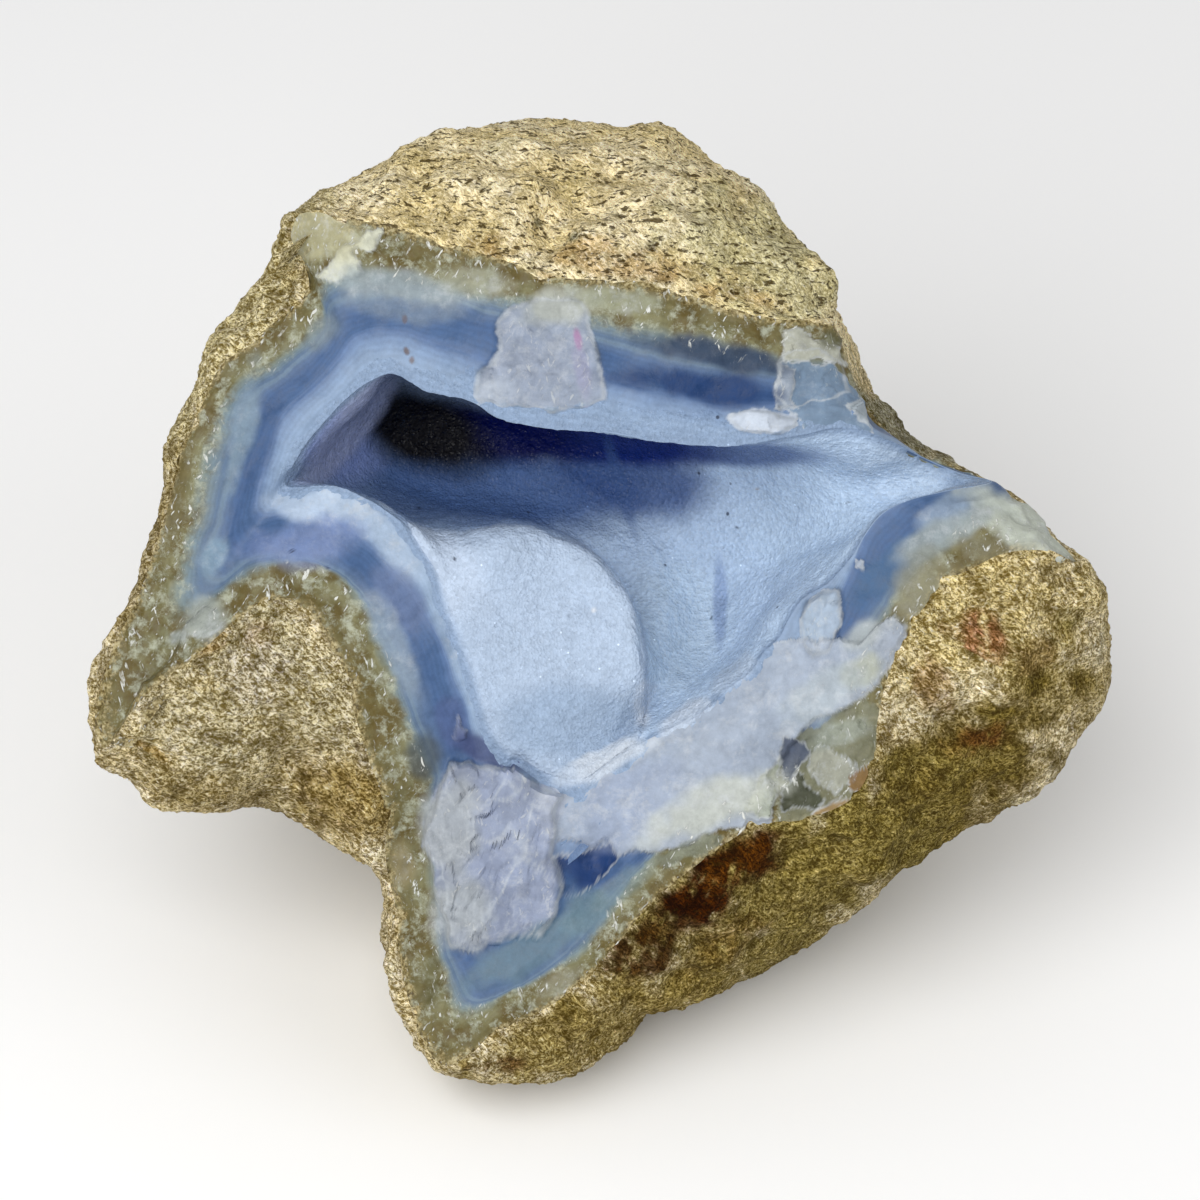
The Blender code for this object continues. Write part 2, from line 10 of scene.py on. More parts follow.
import bpy
import numpy as np
from bpy.props import FloatProperty, FloatVectorProperty, IntProperty, PointerProperty
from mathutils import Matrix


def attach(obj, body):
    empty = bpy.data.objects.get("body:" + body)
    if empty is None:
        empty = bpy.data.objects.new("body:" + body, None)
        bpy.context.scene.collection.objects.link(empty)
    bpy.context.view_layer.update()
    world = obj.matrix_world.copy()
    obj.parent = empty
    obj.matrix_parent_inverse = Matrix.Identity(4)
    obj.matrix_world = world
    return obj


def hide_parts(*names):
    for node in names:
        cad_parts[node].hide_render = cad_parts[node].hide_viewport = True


bl_info = {
    "name": "Blue lace agate geode",
    "version": (1, 0, 0),
    "blender": (4, 5, 0),
    "location": "3D Viewport > Sidebar > Geode",
    "description": "Builds the rind, banded wall and crystal lining of a broken agate geode",
    "category": "Object",
}

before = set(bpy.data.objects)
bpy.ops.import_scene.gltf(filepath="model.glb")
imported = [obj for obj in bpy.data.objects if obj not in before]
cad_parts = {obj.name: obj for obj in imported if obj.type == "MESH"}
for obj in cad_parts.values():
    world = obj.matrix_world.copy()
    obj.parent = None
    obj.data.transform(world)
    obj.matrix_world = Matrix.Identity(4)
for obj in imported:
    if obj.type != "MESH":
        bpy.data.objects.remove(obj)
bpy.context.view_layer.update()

MM = 0.001
STATIONS = 48

# How far the eye is from the face, how wide the picture is there, how far the face leans back,
# and the share of a screen colour that a surface needs in this studio's light to show it.
EYE_DISTANCE = 550.0
FRAME_WIDTH = 132.0
SENSOR_WIDTH = 36.0
FACE_LEAN = math.radians(40.0)
STUDIO_SHARE = 0.78

# The flat spot that the stone rests on: how far it lies below, behind and left of the middle of
# the face, in millimetres, as all lengths here are unless they say metres.
BASE_BELOW = 57.0
BASE_BEHIND = 12.0
BASE_ACROSS = 2.5

# How many columns and rows the surfaces have, and how many rows of the lining lie on the wall.
WALL_COLUMNS = 1080
WALL_ROWS = 84
RIND_COLUMNS = 1000
FRONT_ROWS = 84
BACK_ROWS = 86
DRUSE_COLUMNS = 510
DRUSE_ROWS = 160
OVERLAP_ROWS = 14

# Steps along the rows: the hollow ends at the lip and the broken face at the rind. The back is
# two pieces, which meet half way to its pole.
LIP_STEP = 4.0
RIND_STEP = 2.0
SIDE_END = 0.5

# How thick the pieces are, how wide the shells and facets of the break are, and how high the
# crystal mound's rim stands over the hollow.
CRUST_DEPTH = 0.8
RIND_DEPTH = 3.5
SHELL_SIZE = 6.0
FACET_SIZE = 2.3
CREST_HEIGHT = 1.1

BACK_POLE = (1.0, 2.0, -70.0)
FLOOR_POLE = (2.0, 10.5, -27.5)
BACK_HALF_WIDTH = 50.0
BACK_HALF_HEIGHT = 46.0
EVEN_BY = 0.55  # the step on the back by which the outline has turned into an ellipse
OUTLINE_SHARE = 0.3  # how much of its height a lump keeps at the outline

# Points of each ring as seen square on to the broken face: (station, across, up, out), where out
# is towards the eye. Station 0 is the upper left corner and they run clockwise.
OUTLINE = (
    (0, -33, 43, -4), (0.5, -30, 44.5, -9), (1, -27.5, 46, -14), (1.5, -23, 48, -18),
    (2, -20.5, 50, -21), (3, -14.5, 52, -26), (4, -6.5, 53, -29), (5, 1.5, 52, -31),
    (5.5, 7, 52, -31), (6, 11, 49.5, -30), (7, 17, 45, -27), (7.5, 21, 40.5, -22),
    (8, 24.5, 36, -17), (8.5, 25.5, 32, -12), (9, 27, 29, -9), (9.6, 28.5, 24.5, -9),
    (10, 30, 21, -10), (11, 35, 16, -12), (12, 39, 15, -13), (12.6, 43, 13, -13),
    (13, 47, 10.5, -12), (13.5, 49.5, 7, -11), (14, 53, 4, -10), (15, 55.5, -0.5, -10),
    (16, 55.5, -4.5, -11), (17, 56, -8, -12), (18, 55.5, -11.5, -14), (19, 53, -15, -16),
    (20, 49.5, -20, -19), (21, 44, -23.5, -21), (22, 38.5, -26, -23), (22.6, 33.5, -29.5, -24),
    (23, 29.5, -33, -24), (24, 22, -38.5, -23), (25, 15, -42, -21), (26, 9, -44.5, -20),
    (26.5, 5, -45.5, -19), (27, 3, -48, -17), (28, -0.5, -51, -15), (29, -5.5, -53, -13),
    (30, -12, -52.5, -12), (30.5, -17.5, -52, -11), (31, -21, -47.5, -12),
    (32, -23, -40.5, -13), (32.5, -23.5, -35, -14), (33, -23.5, -31.5, -15),
    (33.5, -25, -29.5, -16), (34, -27.5, -27.5, -18), (35, -30, -26, -18), (36, -33, -24, -18),
    (37, -35, -23, -18), (38, -37, -22.5, -18), (39, -39.5, -22.5, -17), (40, -41.5, -23, -17),
    (41, -44, -23, -16), (42, -47, -22.5, -15), (43, -49.5, -22, -14), (43.4, -51.5, -20, -13),
    (43.7, -53.5, -19, -12), (44, -55.5, -17.5, -9), (44.2, -56, -12.5, -7),
    (44.4, -54.5, -5.5, -6), (44.6, -51.5, -0.5, -6), (44.8, -49.5, 5.5, -6), (45, -48, 12, -7),
    (45.4, -47.5, 17.5, -8), (46, -45, 22, -9), (46.5, -43.5, 27.5, -11), (47, -40, 32, -12),
    (47.4, -36.5, 37, -10), (47.7, -35, 40.5, -8), (47.9, -34.5, 42, -6),
)
RIND_EDGE = (
    (0, -33, 42.5, -2), (1, -28, 42, 0), (2, -23, 41, 0.5), (3, -17.5, 39.5, 1),
    (4, -11, 37.5, 1), (5, -4.5, 35.5, 1), (6, 4.5, 35, 1), (7, 11.5, 33, 0.5), (8, 19, 31, 0),
    (8.6, 25.5, 30.5, -2), (9, 26.5, 28.5, -4), (9.6, 28, 24, -5), (10, 29.5, 21, -7),
    (11, 34.5, 16, -9.5), (12, 38.5, 15, -10.5), (12.6, 42.5, 13, -10), (13, 46, 10.5, -8),
    (13.5, 49.5, 7.5, -5), (14, 52.5, 4, -3.5), (14.4, 50.5, 5, -1), (15, 48, 5.5, 0),
    (16, 44, 5, 1), (16.5, 41, 3.5, 1), (17, 38, 2, 1), (18, 35.5, -1, 1), (19, 33, -5.5, 1),
    (20, 31.5, -9, 0.5), (21, 30.5, -13.5, 0), (22, 30, -18, -1), (22.6, 27.5, -22, -2),
    (23, 23, -24, -3), (24, 17, -25, -3.5), (25, 11.5, -28.5, -4), (26, 5.5, -33.5, -5),
    (27, 0.5, -39.5, -6), (28, -4.5, -44, -6.5), (29, -11, -47.5, -7), (30, -16, -51, -7.5),
    (30.5, -18.5, -50.5, -8), (31, -20.5, -46, -8.5), (32, -22, -39.5, -9),
    (33, -23, -31.5, -9.5), (33.5, -23.5, -29, -8), (34, -24, -22, -4), (35, -25.5, -17.5, -2),
    (36, -27, -12.5, -1), (37, -28, -9, -0.5), (38, -29.5, -5.5, 0), (39, -31.5, -2, 0),
    (40, -34, -0.5, 0), (41, -36.5, 0, 0.5), (42, -38.5, -1, 0.5), (43, -41.5, -3.5, 0.5),
    (43.4, -46, -7.5, 0), (43.7, -50.5, -11, -1), (44, -55, -17, -5), (44.2, -55.5, -12.5, -5),
    (44.4, -53.5, -5, -4), (44.6, -51, 0, -3.5), (44.8, -49, 5.5, -3), (45, -47, 12, -3),
    (45.4, -46, 16.5, -3), (46, -44, 21, -2.5), (46.5, -41.5, 26, -3), (47, -37, 29.5, -3),
    (47.4, -32.5, 34, -2), (47.7, -32.5, 37, -3), (47.85, -34, 40, -3.5),
)
DARK_BAND = (
    (0, -27.5, 29.5, 0), (1, -22.5, 31, 0.3), (2, -17.5, 30.5, 0.5), (3, -11.5, 29, 0.5),
    (4, -5.5, 27.5, 0.5), (5, 0.5, 26.5, 0.5), (6, 7, 24.5, 0.5), (7, 14.5, 23.5, 0.3),
    (8, 21, 23.5, 0), (9, 26, 23.5, -2), (10, 30.5, 19.5, -6), (11, 35, 16, -9),
    (12, 38.5, 14.5, -9.5), (12.6, 42.5, 13, -8.5), (13, 44.5, 12, -5), (14, 42.5, 11, -1.5),
    (15, 38.5, 10.5, 0), (16, 36, 8, 0.3), (17, 33, 5.5, 0), (18, 31.5, 2, -0.3),
    (19, 29.5, -1.5, -0.5), (20, 27.5, -5.5, -1), (21, 26, -9.5, -1.5), (22, 24, -12.5, -2),
    (23, 20, -16, -3), (24, 15, -19, -3.5), (25, 10, -22, -4), (26, 5, -27, -4.5),
    (27, 0, -31.5, -5), (28, -3.5, -35, -5), (29, -8, -40, -5.5), (30, -13, -42.5, -6),
    (31, -15.5, -39.5, -6), (32, -16.5, -34.5, -6), (33, -16.5, -27.5, -5.5),
    (33.5, -16.5, -22, -5), (34, -16.5, -17, -4), (35, -17, -14, -3), (36, -18.5, -10, -2),
    (37, -19.5, -6, -1.5), (38, -21, -2.5, -1), (39, -23, 1, -0.7), (40, -25, 3.5, -0.4),
    (41, -27.5, 5.5, 0), (42, -31.5, 6.5, 0.3), (43, -36, 5.5, 0), (44, -40.5, 4, -1),
    (44.5, -41, 6.5, -1), (45, -39.5, 12, -0.5), (46, -37, 18.5, 0), (47, -32.5, 23.5, 0),
    (47.5, -29.5, 27, 0),
)
LIP = (
    (0, -23, 25, 0), (1, -19, 23, 0.5), (2, -14.5, 22, 0.5), (3, -11, 20, 0.5),
    (4, -6, 19, 0.5), (5, 0, 18.5, 0.5), (6, 6.5, 17.5, 0.5), (7, 14, 17, 0), (8, 21, 18, -0.5),
    (9, 27, 19, -2), (10, 32, 17.5, -4), (11, 36, 15.5, -7.5), (12, 39.5, 14, -8),
    (13, 43, 13, -4), (14, 38, 12, -1.5), (15, 34, 11, -0.5), (16, 31, 9.5, -0.5),
    (17, 29, 7, -1), (18, 27.5, 4.5, -1.5), (19, 25, 1.8, -2), (19.7, 22.4, 0.2, -2.4),
    (20.4, 20.8, -2, -2.8), (21, 19.8, -4, -3.1), (22, 18, -5.8, -3.5), (23, 16.5, -8, -4),
    (24, 13, -10.5, -4.5), (25, 9, -13.5, -5), (26, 5, -15.5, -5.2), (27, 1, -18, -5),
    (28, -2, -20.5, -5), (29, -5.5, -20, -5), (30, -7, -19, -5), (31, -8.5, -18, -4.8),
    (32, -9.5, -17.5, -4.6), (33, -10.5, -17.5, -4.2), (34, -12.5, -15, -3.6),
    (35, -13.5, -12.5, -3), (36, -14.5, -9, -2.4), (37, -16, -5, -2), (38, -17.5, -1, -1.5),
    (39, -18.5, 3, -1), (40, -20.5, 6, -0.5), (41, -22, 8.5, 0), (42, -25.5, 11, 0.3),
    (43, -29.5, 12.5, 0.3), (44, -34.5, 12.5, -2), (45, -33.5, 15.5, -0.5), (46, -31, 19, 0),
    (47, -27, 23, 0),
)
HOLLOW_RIM = (
    (0, -23, 26, -7), (2, -14.5, 23.5, -7), (4, -6, 21, -8), (6, 6.5, 19, -8),
    (7.5, 17, 17.5, -7), (9, 25, 16.5, -6), (10, 29.5, 15, -7), (11, 33, 14, -9),
    (12, 36.5, 12.5, -9), (13, 39, 12, -7), (14, 36, 10.5, -5), (15.5, 31, 8.5, -5.5),
    (17, 27, 5.5, -6), (19, 22.5, 1.5, -7.5), (20.2, 19, -1.5, -8), (21.5, 17.5, -4.5, -8.5),
    (23, 15, -7, -9), (25, 8.5, -12, -9), (26.3, 4.8, -13.9, -8.3), (28, 0, -17, -7),
    (29.5, -4, -17.5, -6), (31, -7, -16, -4.5), (33, -8, -14, -3.8), (35, -10, -10, -3),
    (37, -12, -4.5, -2.5), (39, -16, 2.6, -2.2), (40.2, -18.6, 6.3, -2.6), (41.3, -22, 9, -4),
    (42.5, -27.5, 11.3, -6), (43.3, -31, 12.3, -7), (44, -33, 13.5, -7.5), (45, -31.5, 16.5, -6),
    (46, -29.5, 19, -6), (47, -26, 22.2, -6),
)
HOLLOW_WALL = (
    (0, -22.5, 25.2, -16), (2, -15, 23.3, -17), (4, -6, 21.8, -18), (6, 6, 19, -17),
    (8, 17.5, 16.5, -14.5), (10, 24, 14, -12), (12, 28, 11, -11.5), (14, 28, 9, -11),
    (16, 25.5, 6, -12), (18, 22, 3.5, -13.5), (20, 19, -0.5, -15), (22, 15.5, -4.5, -15.5),
    (24, 11, -9, -14.5), (26, 7, -10.8, -13), (27.3, 5.4, -11.2, -12), (28.5, 4.9, -10.2, -10.6),
    (29.7, 4.8, -8.5, -9), (31, 4.4, -6, -7.5), (33, 3.2, -1, -6.5), (34.5, 0, 4, -6.5),
    (36, -4, 6.5, -6.5), (37.5, -8, 7.6, -6.5), (39, -13, 7.8, -7.5), (40, -17, 7.8, -8.5),
    (41, -20.5, 8.2, -10), (42, -23.5, 9, -12), (43, -27.5, 10, -13.5), (44, -30.5, 13, -14),
    (45, -30, 17, -14), (46, -28, 20, -14.5), (47, -25.5, 23, -15.5),
)
HOLLOW_DEEP = (
    (0, -18, 20.5, -25), (2, -12, 19.5, -26), (4, -5, 17.5, -26.5), (6, 4, 16.5, -25),
    (8, 12, 14.5, -23), (10, 16.5, 12, -21.5), (12, 18.5, 9.5, -20.5), (14, 19, 7, -20),
    (16, 18, 5, -20.5), (18, 16, 2, -21), (20, 14, -0.5, -21.5), (22, 11.5, -3.5, -20.5),
    (24, 9.5, -5.5, -19.5), (26, 7.6, -7, -18), (28, 6.4, -6, -17.5), (30, 5.3, -4, -18),
    (32, 3, -0.5, -19.5), (34, 0, 3.5, -21.5), (36, -4, 6.5, -23), (38, -8, 8.5, -24),
    (40, -12.5, 9.5, -24.5), (42, -17.5, 11, -24.5), (44, -21.5, 13.5, -24.5),
    (46, -22, 17.5, -24.5),
)

# Turn that lays a pattern's third axis along the small slanting chips of the wall, whose glints are
# painted.
SLANT = (-0.555, 0.741, 0.0)
OTHER_SLANT = (-0.62, -0.35, 0.0)

# Swellings that only the crystal lining has, in the same form as RELIEF.
FILL = (
    (6.6, -2, 2.6, 8, 2.4), (2, 9, 5, 5, 2), (-12.5, 6, 5, 4.5, 2.6),
)

# Broad dents and swellings: (across, up, half width, half height, rise).
RELIEF = (
    (-0.5, -28.5, 2.6, 2.6, -2),
    (21, -17.5, 3.2, 4, -2.2),
    (45, -6, 8, 8, 1.5),
    (-40, -12, 8, 6, 1.6),
    (7, 45, 12, 4, 1),
    (-26, 34, 4, 3, 0.8),
    (10, -9.5, 3, 2.5, 1.6),
    (13.4, 0, 1.8, 7, -1.2),
    (2.5, 14, 1.8, 6, -1.4),
)

# Ledges and flakes left by the break: outline as (across, up), height of the top as out at the
# first point, its slope across and up, and how much of the height shows as a step.
LEDGES = (
    (((-16.5, -18), (-12, -17.9), (-9.4, -18.6), (-6, -20.4), (-4, -21.5), (-4.6, -24),
      (-5, -28), (-4, -31.5), (-4.6, -35), (-6.5, -37), (-10, -37), (-13, -38.6),
      (-16.5, -38), (-17.8, -33), (-18.6, -28.5), (-20, -27), (-18.5, -22)),
     -2.4, 0.02, 0.13, 1),
    (((-13.7, 21.8), (-13.3, 25), (-11, 27.3), (-11.6, 29.5), (-10, 32), (-6, 33.4),
      (-2.5, 33.6), (-1.2, 31), (0, 27), (0.6, 22), (-4, 20.6), (-9, 21.2)),
     1.5, 0, 0, 0.45),
    (((13.8, 20), (15.3, 20.8), (18.5, 20.9), (22, 20.3), (22, 18.9), (18.7, 18.2),
      (15.5, 18.4)),
     1.6, -0.1, 0, 0.5),
    (((20.5, 27), (19.6, 26), (19.4, 22.6), (20.6, 21.4), (24, 21.6), (27, 22.8),
      (26.6, 26.2), (24, 28.2)),
     1.2, -0.35, 0, 0.25),
    (((26.4, 1.2), (26.6, -2.6), (25.3, -5.2), (23.6, -6), (22.4, -4.8), (22, -2),
      (22.8, 0), (24.6, 1.3)),
     -0.7, 0.12, 0, 0.8),
)

# Shards and hollows of the broken face: outline as (across, up), rise, colour, strength and how
# strongly it is faceted.
SHARDS = (
    (LEDGES[1][0], 0, (160, 170, 188), 0.85, 0.5),
    (LEDGES[2][0], 0, (202, 212, 226), 0.95, 0.7),
    (LEDGES[4][0], 0.2, (184, 201, 220), 0.85, 0.7),
    (((-6.5, -22), (-6.5, -26.3), (-2.2, -26.7), (-0.6, -27.6), (0.6, -26.5), (1.2, -27.4),
      (2.1, -28.4), (4.4, -27.5), (7, -27.7), (9.9, -26.7), (11.7, -25.7), (15.4, -25.5),
      (18.9, -25), (19.6, -22), (18.9, -19.3), (20.4, -16.8), (22.1, -14.4), (26.2, -12.3),
      (29.2, -10.7), (31.4, -8.8), (33.6, -5.5), (34.3, -2.8), (32.5, -1.1), (28.6, -4.4),
      (19.6, -4.6), (16, -6.4), (11.8, -10.2), (7.8, -13.4), (4, -15.3), (-0.6, -17.9),
      (-3, -19.4)), 0.7, (176, 187, 203), 0.88, 0.22),
    (((7, -27.7), (9.9, -26.7), (11.7, -25.7), (14.2, -25.6), (13.4, -27), (10.5, -28.4),
      (7.2, -29.4), (5, -29)), -0.1, (128, 134, 116), 0.7, 0.7),
    # The navy of this hollow notch below the slab's edge is partly painted shadow in the recess.
    (((-2.4, -27.6), (1.3, -26.5), (2, -28.4), (0.9, -30), (-0.6, -31.4), (-2.8, -32.4),
      (-6, -33), (-6.5, -28)), -0.2, (34, 64, 118), 0.95, 0.7),
    (((19.6, -22), (18.9, -19.3), (20.4, -16.8), (22.1, -14.4), (26.2, -12.3), (29.2, -10.8),
      (31.6, -13), (31, -16.4), (30.4, -18.6), (28.6, -21.8), (24, -24.4), (19, -24.8)),
     -0.1, (128, 129, 104), 0.85, 0.7),
    (((17.6, -19.1), (19.9, -17.2), (19.6, -22.2), (19.1, -24.2), (15.2, -23.4)), 0.3,
     (168, 174, 152), 0.8, 0.7),
    (((20.2, -15.2), (22.2, -15.9), (23.1, -16.7), (22.7, -17.9), (21.3, -18.5), (21, -20.2),
      (19.7, -20.2), (19.8, -17.4)), -0.3, (92, 102, 124), 0.9, 0.7),
    (((19.7, -20.2), (21, -20.2), (21.7, -19.2), (23.3, -20.6), (25.2, -21.9), (23.6, -23.3),
      (21.4, -22.9), (19.8, -23.6)), -0.3, (72, 76, 58), 0.9, 0.7),
    (((22.6, -17.3), (24, -15.9), (26.4, -16.6), (28.4, -17.9), (28, -19.7), (25.8, -21.6),
      (23.6, -20.3), (22.4, -18.6)), 0.4, (186, 188, 174), 0.75, 0.7),
    (((27.6, -19.4), (29.9, -17.7), (30.8, -18.6), (29, -20.9), (27.2, -21.4)), 0.2,
     (150, 106, 46), 0.7, 1),
    (((22.9, -23.5), (25.6, -21.9), (28.3, -21.4), (27.3, -22.9), (23.8, -24.3)), 0.2,
     (166, 138, 94), 0.9, 0.7),
    (((-16.6, -15.4), (-16, -12.8), (-15.2, -12.3), (-14.5, -15.2), (-15.6, -15.7)), 0.5,
     (172, 180, 206), 0.8, 0.7),
    (((27.4, 5.2), (29.6, 4.6), (29.2, 3), (27.8, 3.4)), 0.5, (192, 202, 216), 0.8, 0.7),
    (((-44.6, -0.4), (-42, -1), (-41.6, -3.4), (-43.8, -4.4), (-45.6, -4), (-44.8, -2.4)), 0.4,
     (176, 182, 172), 0.8, 0.7),
    (((19.8, 26.2), (22.6, 26.4), (25.8, 26.2), (27.6, 23.4), (29.3, 20.9), (30.3, 18.2),
      (26, 18.4), (22.3, 18.2), (21.4, 20.4), (19, 20.9)), 0.2, (124, 147, 171), 0.9, 0.4),
    (((20, 29.9), (22, 30.2), (25.8, 28), (28.6, 25.4), (25.8, 26), (23.4, 26.2), (20.2, 26.3)),
     0.3, (192, 194, 180), 0.9, 0.7),
    (((19.8, 26), (21.8, 25.6), (21.4, 22), (22.4, 20.8), (19, 20.9), (19.3, 23)), 0.3,
     (168, 178, 192), 0.8, 0.7),
    (((26.6, 21.4), (28.2, 21.8), (29.8, 18.8), (28.4, 19.6)), 0.2, (182, 190, 192), 0.7, 0.7),
    (((-31.6, 35.4), (-28.4, 38.4), (-25.6, 41.2), (-23.8, 40.4), (-24.6, 38.4), (-26.6, 38.2),
      (-26.2, 36), (-29.4, 35)), 0.5, (234, 236, 214), 0.9, 0.7),
    (((-46.8, -3.4), (-45.4, -3.6), (-45.6, -4.8), (-47, -4.8)), 0.3, (176, 182, 172), 0.8, 0.7),
    (LEDGES[0][0], 0, (152, 162, 186), 0.92, 1),
)

# Edges of chips and ledges, pale partly as broken agate and partly as painted highlight, and
# the outline, rise, colour, strength and facets of the mound in the hollow.
RIM_PALE_AND_HIGHLIGHT = (214, 219, 222)
CLIFF_PALE_AND_HIGHLIGHT = (206, 213, 218)
MOUND = (
    (((-34.1, 12.3), (-29.5, 12.3), (-27.5, 11.8), (-25.5, 11.1), (-23.2, 10), (-21.6, 8.5),
      (-18.2, 7.3), (-14.7, 7.4), (-11.6, 8), (-7.6, 7.7), (-5.1, 6.8), (-2.5, 6.3),
      (-0.9, 5.2), (0, 4), (1.7, 1.8), (3.3, 0.1), (3.7, -1.5), (3.9, -4.4), (4.4, -7.2),
      (5, -9.9), (5, -13.2), (2, -22), (-14, -22), (-40, -10), (-40, 12)), 0,
     (188, 206, 230), 0.9, 0),
)

# Specks in the crystals: (across, up, colour).
DOTS = (
    (-16, 4.5, (30, 36, 60)), (-13, -0.6, (30, 36, 60)), (-20, 9.7, (30, 36, 60)),
    (0.3, -5.6, (40, 30, 60)), (-3.5, -1.8, (40, 46, 70)), (15.5, 8, (30, 36, 60)),
    (27.5, 10.8, (30, 36, 60)), (12.4, -2.3, (40, 46, 70)), (17.6, 12.4, (170, 150, 130)),
    (-0.8, -1, (255, 255, 255)),
)
# Painted light and shade on the mound: lighter at its upper left and darker lower down, as the
# light falls.
MOUND_LIGHT_AND_SHADE = (
    (-18, 3, 6, 4.5, -40, (202, 218, 240), 0.8),
    (-3, -13.5, 8, 4, 0, (160, 182, 210), 0.8),
)

# Where the bands of the wall end, as (station, step): step 0 is the lip, 1 the dark band's
# middle and 2 the rind.
PALE_END = (
    (0.5, 0.88), (1.6, 0.7), (2.5, 0.68), (4, 0.7), (6, 0.75), (7.4, 0.68), (9, 0.5), (11, 0.3),
    (12.5, 0.1), (14, 0.05), (17.5, 0.05), (19.1, 0.4), (20, 0.55), (22, 0.8), (24, 0.9),
    (26, 0.9), (28, 0.6), (30, 0.5), (32, 0.45), (34.3, 0.38), (35.4, 0.3), (36.3, 0.4),
    (37.3, 0.43), (38.2, 0.55), (39.2, 0.7), (40.5, 0.73), (41.6, 0.62), (43.3, 0.35),
    (44.2, 0.45), (44.7, 0.6), (45.6, 0.73), (46.6, 0.9), (47.3, 0.82),
)
DARK_END = (
    (0.5, 1.2), (2.3, 1.3), (4, 1.2), (5.9, 1.2), (7.4, 1.15), (9, 1.1), (11, 1.1),
    (14.7, 1.05), (15.7, 1.1), (17.6, 1.12), (18.7, 1.1), (20, 1.05), (24, 1.1), (26.5, 1.25),
    (28.3, 1.4), (30, 1.15), (32, 1.1), (34.8, 1.23), (37, 1.28), (39.4, 1.3), (41.9, 1.25),
    (43.4, 1), (44.4, 1.12), (45.6, 1.2), (46.3, 1.33), (47, 1.3), (47.6, 1.25),
)
OLIVE_START = (
    (0.3, 1.45), (2.5, 1.45), (4.5, 1.6), (6, 1.48), (7.5, 1.45), (9, 1.4), (11, 1.4),
    (13, 1.3), (14.7, 1.35), (16, 1.4), (18, 1.45), (20, 1.4), (22, 1.3), (24, 1.35),
    (26.3, 1.35), (27.1, 1.6), (28.3, 1.55), (29.5, 1.3), (30.5, 1.35), (32, 1.3),
    (33.5, 1.35), (35, 1.43), (37.5, 1.48), (38.7, 1.4), (40.1, 1.38), (41.8, 1.33),
    (43, 1.28), (43.6, 1.23), (44, 1.3), (44.4, 1.45), (44.8, 1.58), (45.2, 1.65),
    (45.7, 1.73), (46.1, 1.75), (46.6, 1.65), (47.3, 1.5),
)

# How far the crystals reach over the lip onto the wall, as (station, step).
SUGAR_END = (
    (0, 0.34), (1, 0.3), (2, 0.34), (4, 0.5), (7, 0.5), (8, 0.3), (9, 0.12), (11, 0.03),
    (20, 0.03), (22, 0.1), (24, 0.12), (28, 0.1), (32, 0.08), (36, 0.08), (40, 0.12), (43, 0.12),
    (44.5, 0.2), (46, 0.35),
)

# Colours of the wall by band: (place, red, green, blue) with place 0 at the lip and 1 at the
# rind, and a band's end at each quarter. Colours here are 0 to 255 as a screen shows them.
BAND_COLOURS = (
    (0, 146, 168, 198), (0.1, 152, 175, 205), (0.18, 134, 158, 192), (0.25, 100, 126, 168),
    (0.3, 79, 108, 151), (0.42, 73, 102, 146), (0.48, 92, 116, 152), (0.53, 118, 140, 162),
    (0.58, 98, 121, 150), (0.66, 124, 144, 156), (0.73, 138, 150, 144), (0.79, 136, 133, 97),
    (0.93, 116, 107, 66), (1, 136, 127, 84),
)

